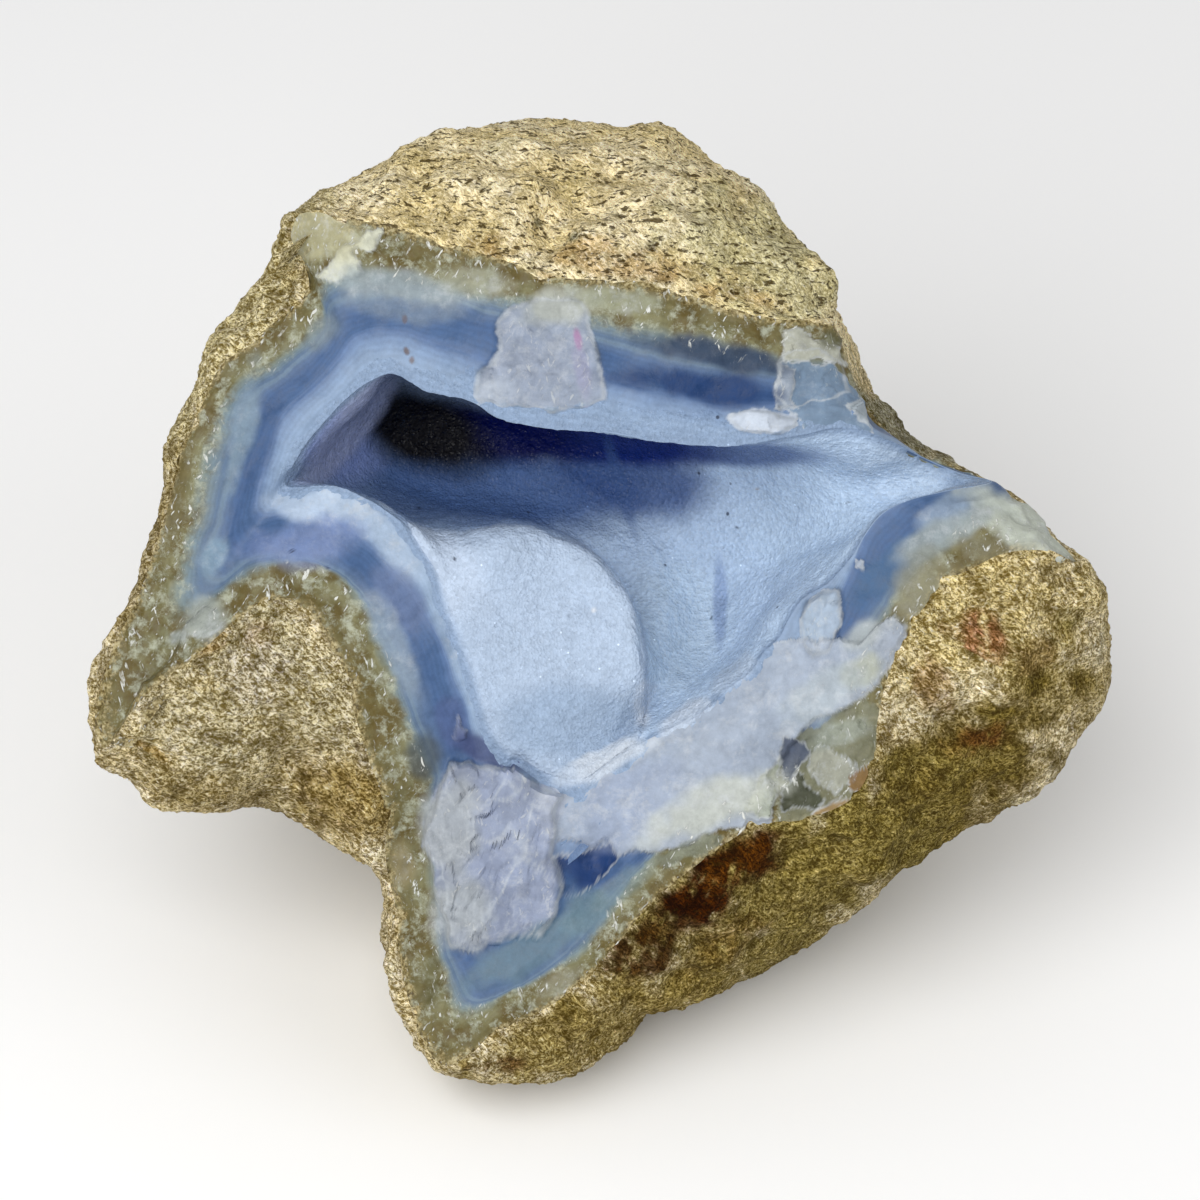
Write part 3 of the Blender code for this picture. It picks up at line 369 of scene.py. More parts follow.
# Patches of colour: (across, up, half width, half height, turn in degrees, colour, strength).
WALL_PATCHES = (
    (-31.8, 10.4, 4.8, 1.8, 0, (194, 212, 234), 0.85),
    (-23.5, 6.5, 5, 1.8, -45, (180, 199, 222), 0.8),
    (-15.8, -5, 1.2, 8, 22, (168, 190, 216), 0.6),
    (-32, 6, 6.5, 2.6, 5, (124, 144, 190), 0.75),
    (-22.2, 0.2, 2, 4, 35, (108, 126, 164), 0.75),
    (-46.3, 12, 1, 6, -12, (110, 98, 58), 0.6),
    (-37.8, 16, 1.3, 7, -20, (62, 90, 134), 0.6),
    (32.3, 3.2, 5.2, 2, 42, (72, 106, 144), 0.8),
    (-21, 32.2, 6, 1.4, -7, (128, 144, 160), 0.6),
    (-20.5, 34.3, 8.5, 1.7, -7, (156, 168, 172), 0.85),
    (-30.5, 29.6, 2.5, 1.5, 45, (128, 142, 148), 0.6),
    (-39.4, 18, 1.3, 7, -12, (136, 158, 176), 0.75),
    (-42.5, 4.6, 1.3, 2.4, -15, (132, 159, 180), 0.8),
    (13.4, 26.8, 9, 1.5, -12, (50, 68, 94), 0.95),
    (38.5, 10, 3.4, 1.6, 30, (146, 165, 188), 0.8),
    (-19.3, -17.4, 1.6, 2.4, 0, (74, 82, 86), 0.75),
    (-21.8, -28.5, 1.4, 3, 0, (160, 148, 112), 0.6),
    (-18.5, -42, 1.4, 3, 0, (98, 94, 58), 0.7),
    (-4.2, -41.8, 2.6, 1.1, 35, (164, 162, 138), 0.6),
    (-30.4, 40.2, 4, 2.6, 0, (200, 196, 158), 0.7),
    (-14.3, 34.9, 4.5, 1.6, -10, (170, 172, 150), 0.7),
    (-4.4, 32.5, 4.2, 1.6, 5, (186, 190, 180), 0.8),
    (-12.1, 22.9, 2.2, 1.8, 0, (192, 202, 216), 0.7),
    (-2.4, 28.6, 0.35, 0.9, 10, (178, 104, 160), 0.6),
    (-2, 25.5, 0.8, 2.6, 8, (168, 158, 198), 0.3),
    (-21.3, 27.4, 0.25, 0.4, 20, (104, 84, 76), 0.8),
    (-20.7, 26.4, 0.25, 0.35, 0, (120, 100, 90), 0.7),
    (-21.5, 30.9, 0.25, 0.45, 0, (104, 92, 96), 0.7),
    (-33.9, 5.4, 0.25, 0.25, 0, (30, 36, 60), 1),
    (-30, 3.6, 0.2, 0.2, 0, (40, 46, 70), 0.9),
    (-22.9, -4.8, 1.5, 5.5, 24, (148, 165, 182), 0.7),
    (28.6, -4.4, 2.2, 1.6, 30, (184, 192, 192), 0.8),
    (2, -23, 6.5, 3.4, 35, (158, 172, 200), 0.6),
    (-43.2, -2.2, 1.9, 2.2, 20, (168, 175, 168), 0.8),
    (-46.2, -4.1, 1.2, 0.8, 20, (168, 175, 168), 0.7),
    (1.5, 33, 4, 1.3, -5, (168, 172, 146), 0.7),
    (11, 23.6, 9, 1.6, -8, (18, 56, 108), 0.95),
    (25.1, 28.6, 1.1, 0.9, 0, (95, 95, 65), 0.7),
    (46.4, 8.2, 6, 2.2, -32, (210, 217, 204), 0.9),
    (41.6, 5.7, 3, 1.3, -20, (128, 122, 92), 0.8),
    (38, 7.4, 5, 1.5, 28, (160, 170, 170), 0.8),
    (34.8, 1.1, 2.4, 4, -35, (150, 148, 122), 0.7),
    (29.3, -7.5, 2.4, 1.8, 30, (188, 190, 162), 0.7),
    (13, -22.4, 7.5, 2.3, 24, (206, 210, 198), 0.75),
    (25, -10, 6, 2, 32, (188, 199, 204), 0.6),
    (26.6, -14.6, 3, 1.2, 25, (176, 184, 172), 0.6),
    (3.5, -16.8, 4.5, 0.9, 28, (212, 221, 232), 0.7),
    (-12.3, -16.6, 3.8, 1.2, -22, (66, 76, 120), 0.85),
    (-16.4, -13.2, 1.4, 2.8, 8, (84, 100, 146), 0.6),
    (-16.6, -25.3, 3.4, 5, 0, (172, 178, 182), 0.8),
    (-15, -34.3, 3.2, 4, 0, (174, 180, 182), 0.75),
    (-5, -22, 1.4, 3, -20, (192, 200, 216), 0.7),
    (-3.6, -34, 1.4, 4, 0, (72, 102, 142), 0.7),
    (-8.6, -39, 8, 1.9, 30, (104, 130, 146), 0.85),
    (-1.4, -34.2, 2.6, 2.2, 40, (110, 137, 150), 0.8),
    (2, -31.8, 3.4, 1.4, 35, (124, 146, 150), 0.5),
)
# Colours of the crystal lining, most of them painted light and shade. The broad pale blue is its
# own colour. The black and navy of the cave and of the band under the lip are painted shadow, the
# darker back wall under the roof and the thin dark lines in the folds are painted shade, and the
# near-white right floor and saddle and the pale left slope are painted light.
DRUSE_COLOUR_LIGHT_AND_SHADE = (
    (12, 4, 26, 22, 0, (200, 223, 250), 1),
    (8, -3, 6, 7, 0, (212, 234, 255), 0.9),
    (24, 8, 8, 6, 0, (200, 223, 248), 0.9),
    (33.5, 13.2, 5, 3, -30, (206, 226, 248), 0.8),
    (-5.5, -13.5, 8, 5, 0, (160, 182, 210), 0.8),
    (-12, 12.5, 16, 5, -4, (84, 116, 172), 0.95),
    (4, 13.4, 8, 4.5, -10, (50, 84, 146), 0.85),
    (-29, 17.5, 4.5, 5, 40, (150, 170, 228), 0.9),
    (15, 16.6, 9, 1.5, -3, (70, 98, 156), 0.8),
    (1, 17.6, 12, 2.3, -5, (0, 34, 118), 0.95),
    (-12, 18.4, 10, 3.2, -8, (0, 12, 84), 1),
    (-19.8, 19, 8, 4.4, -25, (2, 0, 8), 1),
    (-28.4, 18.4, 8, 2, 53, (186, 196, 232), 0.9),
    (2.4, 12.4, 0.8, 6, 14, (74, 104, 158), 0.5),
    (13.4, -0.5, 0.8, 5, 0, (128, 154, 202), 0.6),
    (4.4, -7.5, 0.5, 5, 4, (132, 150, 184), 0.5),
)
SUGAR_PATCHES = (
    (4.9, -12.4, 1.3, 2.6, 8, (218, 228, 242), 0.8),
    (8.4, -13.7, 3.6, 1.1, 35, (212, 223, 238), 0.8),
    (1.4, -17.4, 4.2, 1.3, 28, (218, 227, 238), 0.85),
    (-4, -19.9, 2.4, 0.9, 10, (204, 216, 232), 0.7),
    (14.5, -8.6, 3, 0.9, 38, (196, 211, 230), 0.6),
)

# Broad colours of the rind, which run on over the outline to the back; the darker ones low on the
# stone are partly its own olive brown and partly painted shade on the sides that face down.
RIND_TONES_AND_SHADE = (
    (-36, -11, 14, 9, 0, (204, 192, 150), 0.8),
    (-27, -22, 9, 3.2, -28, (150, 126, 62), 0.8),
    (-49.5, 8, 4, 14, -8, (172, 154, 104), 0.75),
    (-44, -20.5, 8, 1.8, -15, (150, 130, 70), 0.6),
    (-40, 32, 5, 14, -30, (228, 214, 160), 0.8),
    (42, -2, 13, 8, 0, (228, 208, 144), 0.8),
    (50, -9, 6, 6, 0, (184, 164, 96), 0.7),
    (33, 18.5, 9, 2, -38, (150, 150, 124), 0.8),
    (36, -22, 19, 6.5, 36, (124, 106, 38), 0.95),
    (20, -32, 20, 9, 32, (146, 130, 66), 0.95),
    (0, -47, 13, 4.5, 20, (158, 138, 72), 0.9),
    (17, 37, 9, 6.5, -45, (190, 186, 140), 0.6),
)
RIND_PATCHES = (
    (2, 37, 13, 1.6, -7, (204, 160, 86), 0.6),
    (14, 34, 5, 1.2, -10, (186, 148, 90), 0.5),
    (11.8, -31, 7.5, 2.9, 38, (66, 30, 0), 1),
    (15, -28.6, 3.4, 1.6, 30, (96, 56, 8), 0.7),
    (4.2, -38.6, 4.6, 2.2, 45, (72, 42, 2), 0.95),
    (13.5, -37.5, 6, 1.6, 30, (112, 84, 26), 0.6),
    (-11.5, -51, 3, 1, 5, (90, 56, 6), 0.85),
    (-6, 35.6, 1.6, 0.9, -15, (196, 140, 34), 0.8),
    (-42.6, -4.6, 1.8, 1.1, 35, (150, 112, 40), 0.7),
    (-50.4, -16.2, 3.4, 0.6, -30, (210, 178, 104), 0.9),
    (-26, -17.2, 0.6, 2.2, 25, (84, 62, 20), 0.8),
    (-38, -8, 4, 3, 0, (222, 212, 192), 0.5),
    (-37.5, -3.6, 2, 1.6, 0, (196, 168, 140), 0.5),
    (41.2, -3.4, 3.2, 1.6, -10, (150, 78, 34), 0.8),
    (41.5, -15.4, 3.6, 1.8, 10, (112, 64, 22), 0.8),
    (36, -10, 2.2, 2.8, 20, (140, 92, 46), 0.6),
    (47, -5.5, 2.4, 1.6, -20, (132, 100, 44), 0.6),
    (51.5, -1.5, 1.6, 1.2, 0, (110, 100, 30), 0.6),
    (5.5, 38.8, 0.55, 0.45, 0, (50, 36, 14), 0.9),
    (-6.6, 42, 0.7, 0.5, 0, (84, 92, 66), 0.7),
    (-3, 40, 0.6, 0.6, 0, (92, 100, 74), 0.7),
)


def along_ring(points, stations):
    """Points on a closed ring: a cubic through its points, with the slope at each one taken
    from the chord between its neighbours."""
    table = np.array(points, dtype=float)
    lap = (STATIONS,) + (0,) * (table.shape[1] - 1)
    table = np.concatenate((table[-2:] - lap, table, table[:2] + lap))
    knots, places = table[:, 0], table[:, 1:]
    slopes = (places[2:] - places[:-2]) / (knots[2:] - knots[:-2])[:, None]
    knots, places = knots[1:-1], places[1:-1]
    at = np.mod(stations, STATIONS)
    low = np.clip(np.searchsorted(knots, at, side="right") - 1, 0, len(knots) - 2)
    gap = (knots[low + 1] - knots[low])[:, None]
    return hermite(places[low], places[low + 1], slopes[low] * gap, slopes[low + 1] * gap,
                   (at - knots[low])[:, None] / gap)


def hermite(start, end, start_slope, end_slope, t):
    """Cubic from start to end that leaves and arrives with the two slopes."""
    return ((2 * t**3 - 3 * t**2 + 1) * start + (t**3 - 2 * t**2 + t) * start_slope
            + (3 * t**2 - 2 * t**3) * end + (t**3 - t**2) * end_slope)


def smooth(value):
    """Rises from 0 to 1 as value does, level at both ends: 3 v^2 - 2 v^3."""
    value = np.clip(value, 0.0, 1.0)
    return value * value * (3 - 2 * value)


def even_stations(count, rings=(OUTLINE, RIND_EDGE, LIP)):
    """Stations spread so that the mean step along the rings is the same."""
    fine = np.linspace(0, STATIONS, 40 * STATIONS + 1)
    length = np.zeros(len(fine) - 1)
    for ring in rings:
        length += np.linalg.norm(np.diff(along_ring(ring, fine), axis=0), axis=1)
    travelled = np.concatenate(((0.0,), np.cumsum(length)))
    return np.interp(np.arange(count) / count * travelled[-1], travelled, fine)


def even_steps(surface, start, end, count):
    """Steps from start to end for rows that lie the same mean distance apart."""
    coarse = np.linspace(start, end, 80)
    gaps = np.linalg.norm(np.diff(surface(coarse, even_stations(96)), axis=0), axis=2)
    travelled = np.concatenate(((0.0,), np.cumsum(gaps.max(axis=1) + gaps.mean(axis=1))))
    return np.interp(np.linspace(0, travelled[-1], count), travelled, coarse)


def steady_slope(before, after):
    """Harmonic mean of two steps, and none where they turn back, so nothing overshoots."""
    same_way = before * after > 0
    total = np.where(same_way, before + after, 1.0)
    return np.where(same_way, 2 * before * after / total, 0.0)


def relief(seen, hills=RELIEF):
    """Sum of round hills and dents in the plane of the face: rise times exp(-distance^2)."""
    total = np.zeros(seen.shape[:-1])
    for across, up, half_width, half_height, rise in hills:
        off = (((seen[..., 0] - across) / half_width) ** 2
               + ((seen[..., 1] - up) / half_height) ** 2)
        total += rise * np.exp(-off) * (seen[..., 2] > -26)
    return total


def hollow_surface(rows, stations):
    """The hollow, from its floor pole at row 0 over the deep, wall and rim rings to the lip at
    row 4: a cubic through each station's points, with relief added towards the eye."""
    deep = along_ring(HOLLOW_DEEP, stations)
    opposite = along_ring(HOLLOW_DEEP, stations + STATIONS / 2)
    rings = [np.broadcast_to(np.array(FLOOR_POLE), deep.shape), deep]
    rings += [along_ring(ring, stations) for ring in (HOLLOW_WALL, HOLLOW_RIM, LIP)]
    steps = [after - before for before, after in zip(rings, rings[1:])]
    slopes = [(deep - opposite) / 2]
    slopes += [steady_slope(before, after) for before, after in zip(steps, steps[1:])]
    slopes.append(steps[-1])
    lows = [min(int(row), len(steps) - 1) for row in rows]
    surface = np.array([
        hermite(rings[low], rings[low + 1], slopes[low], slopes[low + 1], row - low)
        for row, low in zip(rows, lows)
    ])
    surface[..., 2] += relief(surface)
    return surface


def rind_edge(stations):
    """The rind's edge on the face, with small ragged bites towards the dark band."""
    edge, band = along_ring(RIND_EDGE, stations), along_ring(DARK_BAND, stations)
    way = band - edge
    length = np.linalg.norm(way, axis=1, keepdims=True)
    bite = 0.8 * np.maximum(rough(edge, 2.4, 27, octaves=3, fall=0.6), 0.0)[:, None]
    return edge + way * np.minimum(bite / np.maximum(length, 1e-6), 0.25)


def face_surface(steps, stations):
    """The broken face: straight from the lip to the dark band (step 1) and on to the rind."""
    lip, band = along_ring(LIP, stations), along_ring(DARK_BAND, stations)
    rind = rind_edge(stations)
    inner = np.minimum(steps, 1.0)[:, None, None]
    outer = np.maximum(np.asarray(steps) - 1.0, 0.0)[:, None, None]
    return lip + (band - lip) * inner + (rind - band) * outer


def rind_surface(steps, stations):
    """The rind from its edge on the face to the outline, on a quarter of an ellipse."""
    edge, outline = rind_edge(stations), along_ring(OUTLINE, stations)
    turn = np.asarray(steps) * math.pi / 2
    outwards = np.sin(turn) ** 0.9
    backwards = 0.65 * (1 - np.cos(turn)) + 0.35 * np.asarray(steps)
    share = np.stack((outwards, outwards, backwards), axis=1)[:, None, :]
    return edge + (outline - edge) * share


def back_surface(steps, stations):
    """The back: the outline shrinks on a rounded path to the pole and turns into an ellipse."""
    outline = along_ring(OUTLINE, stations)
    pole = np.array(BACK_POLE)
    spoke = outline[:, :2] - pole[:2]
    angle = np.arctan2(spoke[:, 1], spoke[:, 0])
    oval = np.stack((BACK_HALF_WIDTH * np.cos(angle), BACK_HALF_HEIGHT * np.sin(angle)), axis=1)
    steps = np.asarray(steps)[:, None]
    evened = np.minimum(1.0, (steps / EVEN_BY) ** 2)[..., None]
    turn = steps * math.pi / 2
    shrink = np.maximum(np.cos(turn), 0.0)[..., None] ** 0.8
    across_up = pole[:2] + (spoke * (1 - evened) + oval * evened) * shrink
    out = outline[:, 2] + (pole[2] - outline[:, 2]) * np.sin(turn) ** 1.15
    return np.concatenate((across_up, out[..., None]), axis=2)


def to_stone(seen):
    """From the view square on to the face into the stone's own frame, still in millimetres.
    Nearer things look larger, so their real size is less by their share of the eye's
    distance."""
    shrink = 1 - seen[..., 2] / EYE_DISTANCE
    across, up, out = seen[..., 0] * shrink, seen[..., 1] * shrink, seen[..., 2]
    lean, rise = math.sin(FACE_LEAN), math.cos(FACE_LEAN)
    back = up * lean - out * rise - BASE_BEHIND
    height = up * rise + out * lean + BASE_BELOW
    return np.stack((across - BASE_ACROSS, back, height), axis=-1)


def grid_normals(points):
    """Unit normals of a grid whose columns go round: the step to the next column crossed with
    the step to the next row."""
    along = np.roll(points, -1, axis=1) - np.roll(points, 1, axis=1)
    normals = np.cross(along, np.gradient(points, axis=0))
    return normals / np.maximum(np.linalg.norm(normals, axis=2, keepdims=True), 1e-9)


def scatter(cells, seed):
    """A number from 0 to 1 for each lattice cell, mixed from its three whole coordinates."""
    mixed = cells.astype(np.int64).astype(np.uint32)
    number = (mixed[..., 0] * np.uint32(73856093) ^ mixed[..., 1] * np.uint32(19349663)
              ^ mixed[..., 2] * np.uint32(83492791) ^ np.uint32(seed * 9781 + 7))
    for shift, factor in ((15, 2246822519), (13, 3266489917), (16, 668265263)):
        number = (number ^ (number >> np.uint32(shift))) * np.uint32(factor)
    return (number >> np.uint32(8)).astype(float) / 2**24


def noise(points, size, seed):
    """Soft bumps from -1 to 1, about size across: each lattice point has a random height, and
    the eight round a point are blended with smooth weights."""
    place = points / size
    cell = np.floor(place)
    part = smooth(place - cell)
    total = np.zeros(points.shape[:-1])
    for corner in np.ndindex(2, 2, 2):
        weight = np.prod(np.where(corner, part, 1 - part), axis=-1)
        total += weight * scatter(cell + corner, seed)
    return total * 2 - 1


def rough(points, size, seed, octaves=4, fall=0.55):
    """Sum of noises, each half the size of the last and fall times its height."""
    total, height = np.zeros(points.shape[:-1]), 1.0
    for octave in range(octaves):
        total += height * noise(points, size / 2**octave, seed + 31 * octave)
        height *= fall
    return total


def cells(points, size, seed):
    """Random cells: distance to the nearest seed point and to the next one, and the offset
    from the nearest, all as shares of size, with a random number for the nearest cell."""
    place = points / size
    home = np.floor(place)
    nearest = np.full(points.shape[:-1], 9.0)
    second = nearest.copy()
    offset, number = np.zeros(points.shape), np.zeros(points.shape[:-1])
    for way in np.ndindex(3, 3, 3):
        cell = home + np.array(way) - 1
        jitter = np.stack([scatter(cell, seed + axis) for axis in range(3)], axis=-1)
        gap = place - cell - jitter
        distance = np.linalg.norm(gap, axis=-1)
        closer = distance < nearest
        second = np.where(closer, nearest, np.minimum(second, distance))
        nearest = np.where(closer, distance, nearest)
        offset = np.where(closer[..., None], gap, offset)
        number = np.where(closer, scatter(cell, seed + 5), number)
    return nearest, second, offset, number


def scallops(points, size, seed):
    """Shell-shaped chips that meet in ridges: square of the distance to the nearest of random
    points about size apart, in millimetres."""
    return cells(points, size, seed)[0] ** 2 * size


def facets(seen):
    """Flat faces of broken crystal: each random cell about 2 mm wide has its own tone from
    0.86 to 1.14 and tilts its own way, up to 0.2 mm high."""
    wobble = seen * (1, 1, 0) + 0.5 * noise(seen * (1, 1, 0), 1.2, 59)[..., None]
    offset, number = cells(wobble, FACET_SIZE, 57)[2:]
    turn = 2 * math.pi * number
    tilt = offset[..., 0] * np.cos(turn) + offset[..., 1] * np.sin(turn)
    return 0.86 + 0.28 * number, 0.4 * tilt


def damp_waves(rows, size):
    """Takes out the waves round each row that are shorter than about size, so that rows near
    a pole turn into rounds: the row's share of each wave falls as exp(-(size / length)^2)."""
    around = np.linalg.norm(np.roll(rows, -1, axis=1) - rows, axis=2).sum(axis=1)
    count = np.arange(rows.shape[1] // 2 + 1)
    keep = np.exp(-(count * size[:, None] / np.maximum(around, 1e-6)[:, None]) ** 2)
    return np.fft.irfft(np.fft.rfft(rows, axis=1) * keep[..., None], n=rows.shape[1], axis=1)


def soften(rows, rounds, kept):
    """Averages neighbouring rows, over the pole too, again and again. kept, from 0 to 1 for
    each row, says how much of it stays as it was."""
    soft = rows.copy()
    for _ in range(rounds):
        over_pole = np.roll(soft[1:2], soft.shape[1] // 2, axis=1)
        padded = np.concatenate((over_pole, soft, soft[-1:]))
        mean = (padded[:-2] + 2 * padded[1:-1] + padded[2:]) / 4
        soft = mean + (rows - mean) * kept[:, None, None]
    return soft


def average_columns(values, rounds=4):
    """Averages neighbouring columns, round and round the ring."""
    for _ in range(rounds):
        values = (np.roll(values, 1, axis=1) + 2 * values + np.roll(values, -1, axis=1)) / 4
    return values


def waves(points, size, seed):
    """Soft bumps between -1 and 1: the mean of sine waves that run in scattered directions."""
    chance = np.random.default_rng(seed)
    total = np.zeros(points.shape[:-1])
    count = 14
    for _ in range(count):
        way = chance.normal(size=3)
        way *= chance.uniform(0.6, 1.5) / (np.linalg.norm(way) * size)
        total += np.sin(2 * math.pi * points @ way + chance.uniform(0, 2 * math.pi))
    return total * 2 / count


def inside_outline(seen, outline):
    """Distance inside a closed outline in the plane of the face, negative outside: the least
    distance to its sides, with its sign from how often a ray across meets them."""
    x, y = seen[..., 0], seen[..., 1]
    distance = np.full(x.shape, 1e9)
    within = np.zeros(x.shape, dtype=bool)
    for (x0, y0), (x1, y1) in zip(outline, outline[1:] + outline[:1]):
        dx, dy = x1 - x0, y1 - y0
        t = np.clip(((x - x0) * dx + (y - y0) * dy) / (dx * dx + dy * dy), 0, 1)
        distance = np.minimum(distance, np.hypot(x - x0 - t * dx, y - y0 - t * dy))
        if dy:
            within ^= ((y0 > y) != (y1 > y)) & (x < dx * (y - y0) / dy + x0)
    return np.where(within, distance, -distance)


def screen(red, green, blue):
    """Linear colour that shows as the screen colour given, 0 to 255, in this studio's light."""
    shade = np.array((red, green, blue)) / 255
    linear = np.where(shade <= 0.04045, shade / 12.92, ((shade + 0.055) / 1.055) ** 2.4)
    return tuple(linear * STUDIO_SHARE)


def lay_over(colour, cover, shade, weight):
    """Lays a screen colour over what is there, as much as weight says for each point."""
    colour += (np.array(screen(*shade)) - colour) * weight[..., None]
    cover += (1 - cover) * weight


def paint(seen, patches, seed, ragged=0.35, shards=()):
    """Shards and then ellipses of colour with ragged soft edges, laid over each other: red,
    green, blue and how much they cover, for each point."""
    colour, cover = np.zeros(seen.shape), np.zeros(seen.shape[:-1])
    seen = seen * (1, 1, 0)
    edge = ragged * rough(seen, 2.4, seed, octaves=4, fall=0.7)
    share = np.zeros(cover.shape)
    for outline, rise, shade, strength, faceted in shards:
        inside = smooth((inside_outline(seen, outline) + edge) / 0.35)
        lay_over(colour, cover, shade, strength * inside)
        share += (faceted - share) * inside
        if abs(rise) > 0.15:
            # Painted highlight along a shard's rim, partly the pale of its broken edge.
            lay_over(colour, cover, RIM_PALE_AND_HIGHLIGHT, 2.4 * inside * (1 - inside))
    if share.any():
        colour *= (1 + (facets(seen)[0] - 1) * share)[..., None]
    edge = 0.85 * ragged * rough(seen, 3.0, seed, octaves=3, fall=0.5)
    for across, up, half_width, half_height, turn, shade, strength in patches:
        turn = math.radians(turn)
        x, y = seen[..., 0] - across, seen[..., 1] - up
        u = (x * math.cos(turn) + y * math.sin(turn)) / half_width
        v = (y * math.cos(turn) - x * math.sin(turn)) / half_height
        lay_over(colour, cover, shade, strength * smooth((1.4 - np.hypot(u, v) - edge) / 0.8))
    colour /= np.maximum(cover, 1e-3)[..., None]
    return np.concatenate((colour, cover[..., None]), axis=2)


def laid(under, over):
    """Painted colours with another layer laid over them."""
    both = under + (over - under) * over[..., 3:]
    both[..., 3] = 1 - (1 - under[..., 3]) * (1 - over[..., 3])
    return both


def grid_mesh(name, rows, values, poles=False):
    """Closed mesh over a grid whose columns go round. Without poles its last row joins its
    first; with poles the first and last row are one point each. values holds numbers or
    colours for the first rows, and the last of them serve the rows after."""
    count, columns = rows.shape[:2]
    places = rows.reshape(-1, 3)
    index = np.arange(count * columns).reshape(count, columns)
    kept = np.arange(count * columns)
    if poles:
        index = np.vstack((np.zeros(columns, dtype=int), index[1:-1] - columns + 1,
                           np.full(columns, (count - 2) * columns + 1)))
        kept = np.concatenate(((0,), kept[columns:-columns], (count * columns - 1,)))
    following = np.roll(index, -1, axis=1)
    if poles:
        quads = np.stack((index[1:-2], following[1:-2], following[2:-1], index[2:-1]), axis=-1)
        first = np.stack((index[0], following[1], index[1]), axis=-1)
        last = np.stack((index[-2], following[-2], index[-1]), axis=-1)
        faces = quads.reshape(-1, 4).tolist() + first.tolist() + last.tolist()
    else:
        quads = np.stack((index, following, np.roll(following, -1, axis=0),
                          np.roll(index, -1, axis=0)), axis=-1)
        faces = quads.reshape(-1, 4).tolist()
    mesh = bpy.data.meshes.new(name)
    mesh.from_pydata(places[kept] * MM, [], faces)
    for label, table in values.items():
        spare = np.repeat(table[-1:], count - len(table), axis=0)
        table = np.concatenate((table, spare)).reshape((count * columns,) + table.shape[2:])[kept]
        kind, field = ("FLOAT_COLOR", "color") if table.ndim == 2 else ("FLOAT", "value")
        attribute = mesh.attributes.new(label, kind, "POINT")
        attribute.data.foreach_set(field, table.astype(np.float32).ravel())
    mesh.validate()
    mesh.update()
    return mesh


def add_piece(mesh, replaced, material):
    """Puts a mesh in the scene as a piece that rides on the stone."""
    piece = bpy.data.objects.new(mesh.name, mesh)
    bpy.context.scene.collection.objects.link(piece)
    piece.data.materials.append(material)
    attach(piece, "root")
    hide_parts(replaced)


class Nodes:
    """Short words for building a material's node tree."""

    def __init__(self, name):
        self.material = bpy.data.materials.new(name)
        self.material.use_nodes = True
        self.tree = self.material.node_tree
        self.shader = self.tree.nodes["Principled BSDF"]

    def add(self, kind, inputs=None, **settings):
        node = self.tree.nodes.new("ShaderNode" + kind)
        for setting, value in settings.items():
            setattr(node, setting, value)
        for socket, value in (inputs or {}).items():
            self.feed(node.inputs[socket], value)
        return node

    def feed(self, socket, value):
        if isinstance(value, bpy.types.NodeSocket):
            self.tree.links.new(value, socket)
        else:
            socket.default_value = value

    def place(self, stretch=(1, 1, 1), turn=(0, 0, 0)):
        """Object coordinates for a pattern that is stretched along turned axes."""
        spot = self.add("TexCoord").outputs["Object"]
        return self.add("Mapping", {"Vector": spot, "Rotation": turn, "Scale": stretch},
                        vector_type="TEXTURE").outputs[0]

    def noise(self, size, detail=3.0, roughness=0.6, distortion=0.0, vector=None):
        """Noise with features about size metres across."""
        return self.add("TexNoise", {
            "Vector": vector or self.place(), "Scale": 1 / size, "Detail": detail,
            "Roughness": roughness, "Distortion": distortion,
        }).outputs["Fac"]

    def cells(self, size, output="Distance"):
        """Random cells about size metres wide."""
        return self.add("TexVoronoi", {
            "Vector": self.place(), "Scale": 1 / size,
        }).outputs[output]

    def ramp(self, value, stops, colours=False):
        """Colours or greys at places from 0 to 1, and what lies between them."""
        node = self.add("ValToRGB", {"Fac": value})
        line = node.color_ramp
        while len(line.elements) < len(stops):
            line.elements.new(0.5)
        for element, (place, *shade) in zip(line.elements, stops):
            element.position = place
            element.color = (*screen(*shade), 1) if colours else (*shade * 3, 1)
        return node.outputs["Color"]

    def mix(self, share, low, high, blend="MIX"):
        node = self.add("Mix", data_type="RGBA", blend_type=blend)
        for socket, value in ((0, share), (6, low), (7, high)):
            self.feed(node.inputs[socket], value)
        return node.outputs[2]

    def tint(self, base, shade):
        """Base multiplied by a colour or a tone."""
        return self.mix(1.0, base, shade, "MULTIPLY")

    def math(self, operation, first, second=0.0):
        return self.add("Math", {0: first, 1: second}, operation=operation).outputs[0]

    def times(self, first, second):
        return self.math("MULTIPLY", first, second)

    def spread(self, value, low, high, new_low=0.0, new_high=1.0):
        """Value from low to high, made to run from new_low to new_high."""
        return self.add("MapRange", {
            "Value": value, "From Min": low, "From Max": high,
            "To Min": new_low, "To Max": new_high,
        }).outputs[0]

    def mark(self, name, output="Fac"):
        """What the mesh says at each point under this name."""
        return self.add("Attribute", attribute_name=name).outputs[output]

    def bump(self, height, distance, strength, after=None):
        inputs = {"Height": height, "Distance": distance, "Strength": strength}
        if after is not None:
            inputs["Normal"] = after
        return self.add("Bump", inputs).outputs["Normal"]

    def finish(self, **sockets):
        for socket, value in sockets.items():
            self.feed(self.shader.inputs[socket.replace("_", " ")], value)
        return self.material


def banding(nodes, look):
    """Colour of the bands at the band attribute, warped a little and crossed by lace lines."""
    warp = nodes.spread(nodes.noise(0.004, 4.0, 0.55), 0.3, 0.7, -0.02, 0.02)
    band = nodes.math("ADD", nodes.mark("band"), warp)
    base = nodes.ramp(band, BAND_COLOURS, colours=True)
    lines = nodes.math("SINE", nodes.times(band, look.lace_lines * 2 * math.pi))
    return nodes.tint(base, nodes.spread(lines, -1.0, 1.0, 0.95, 1.04))


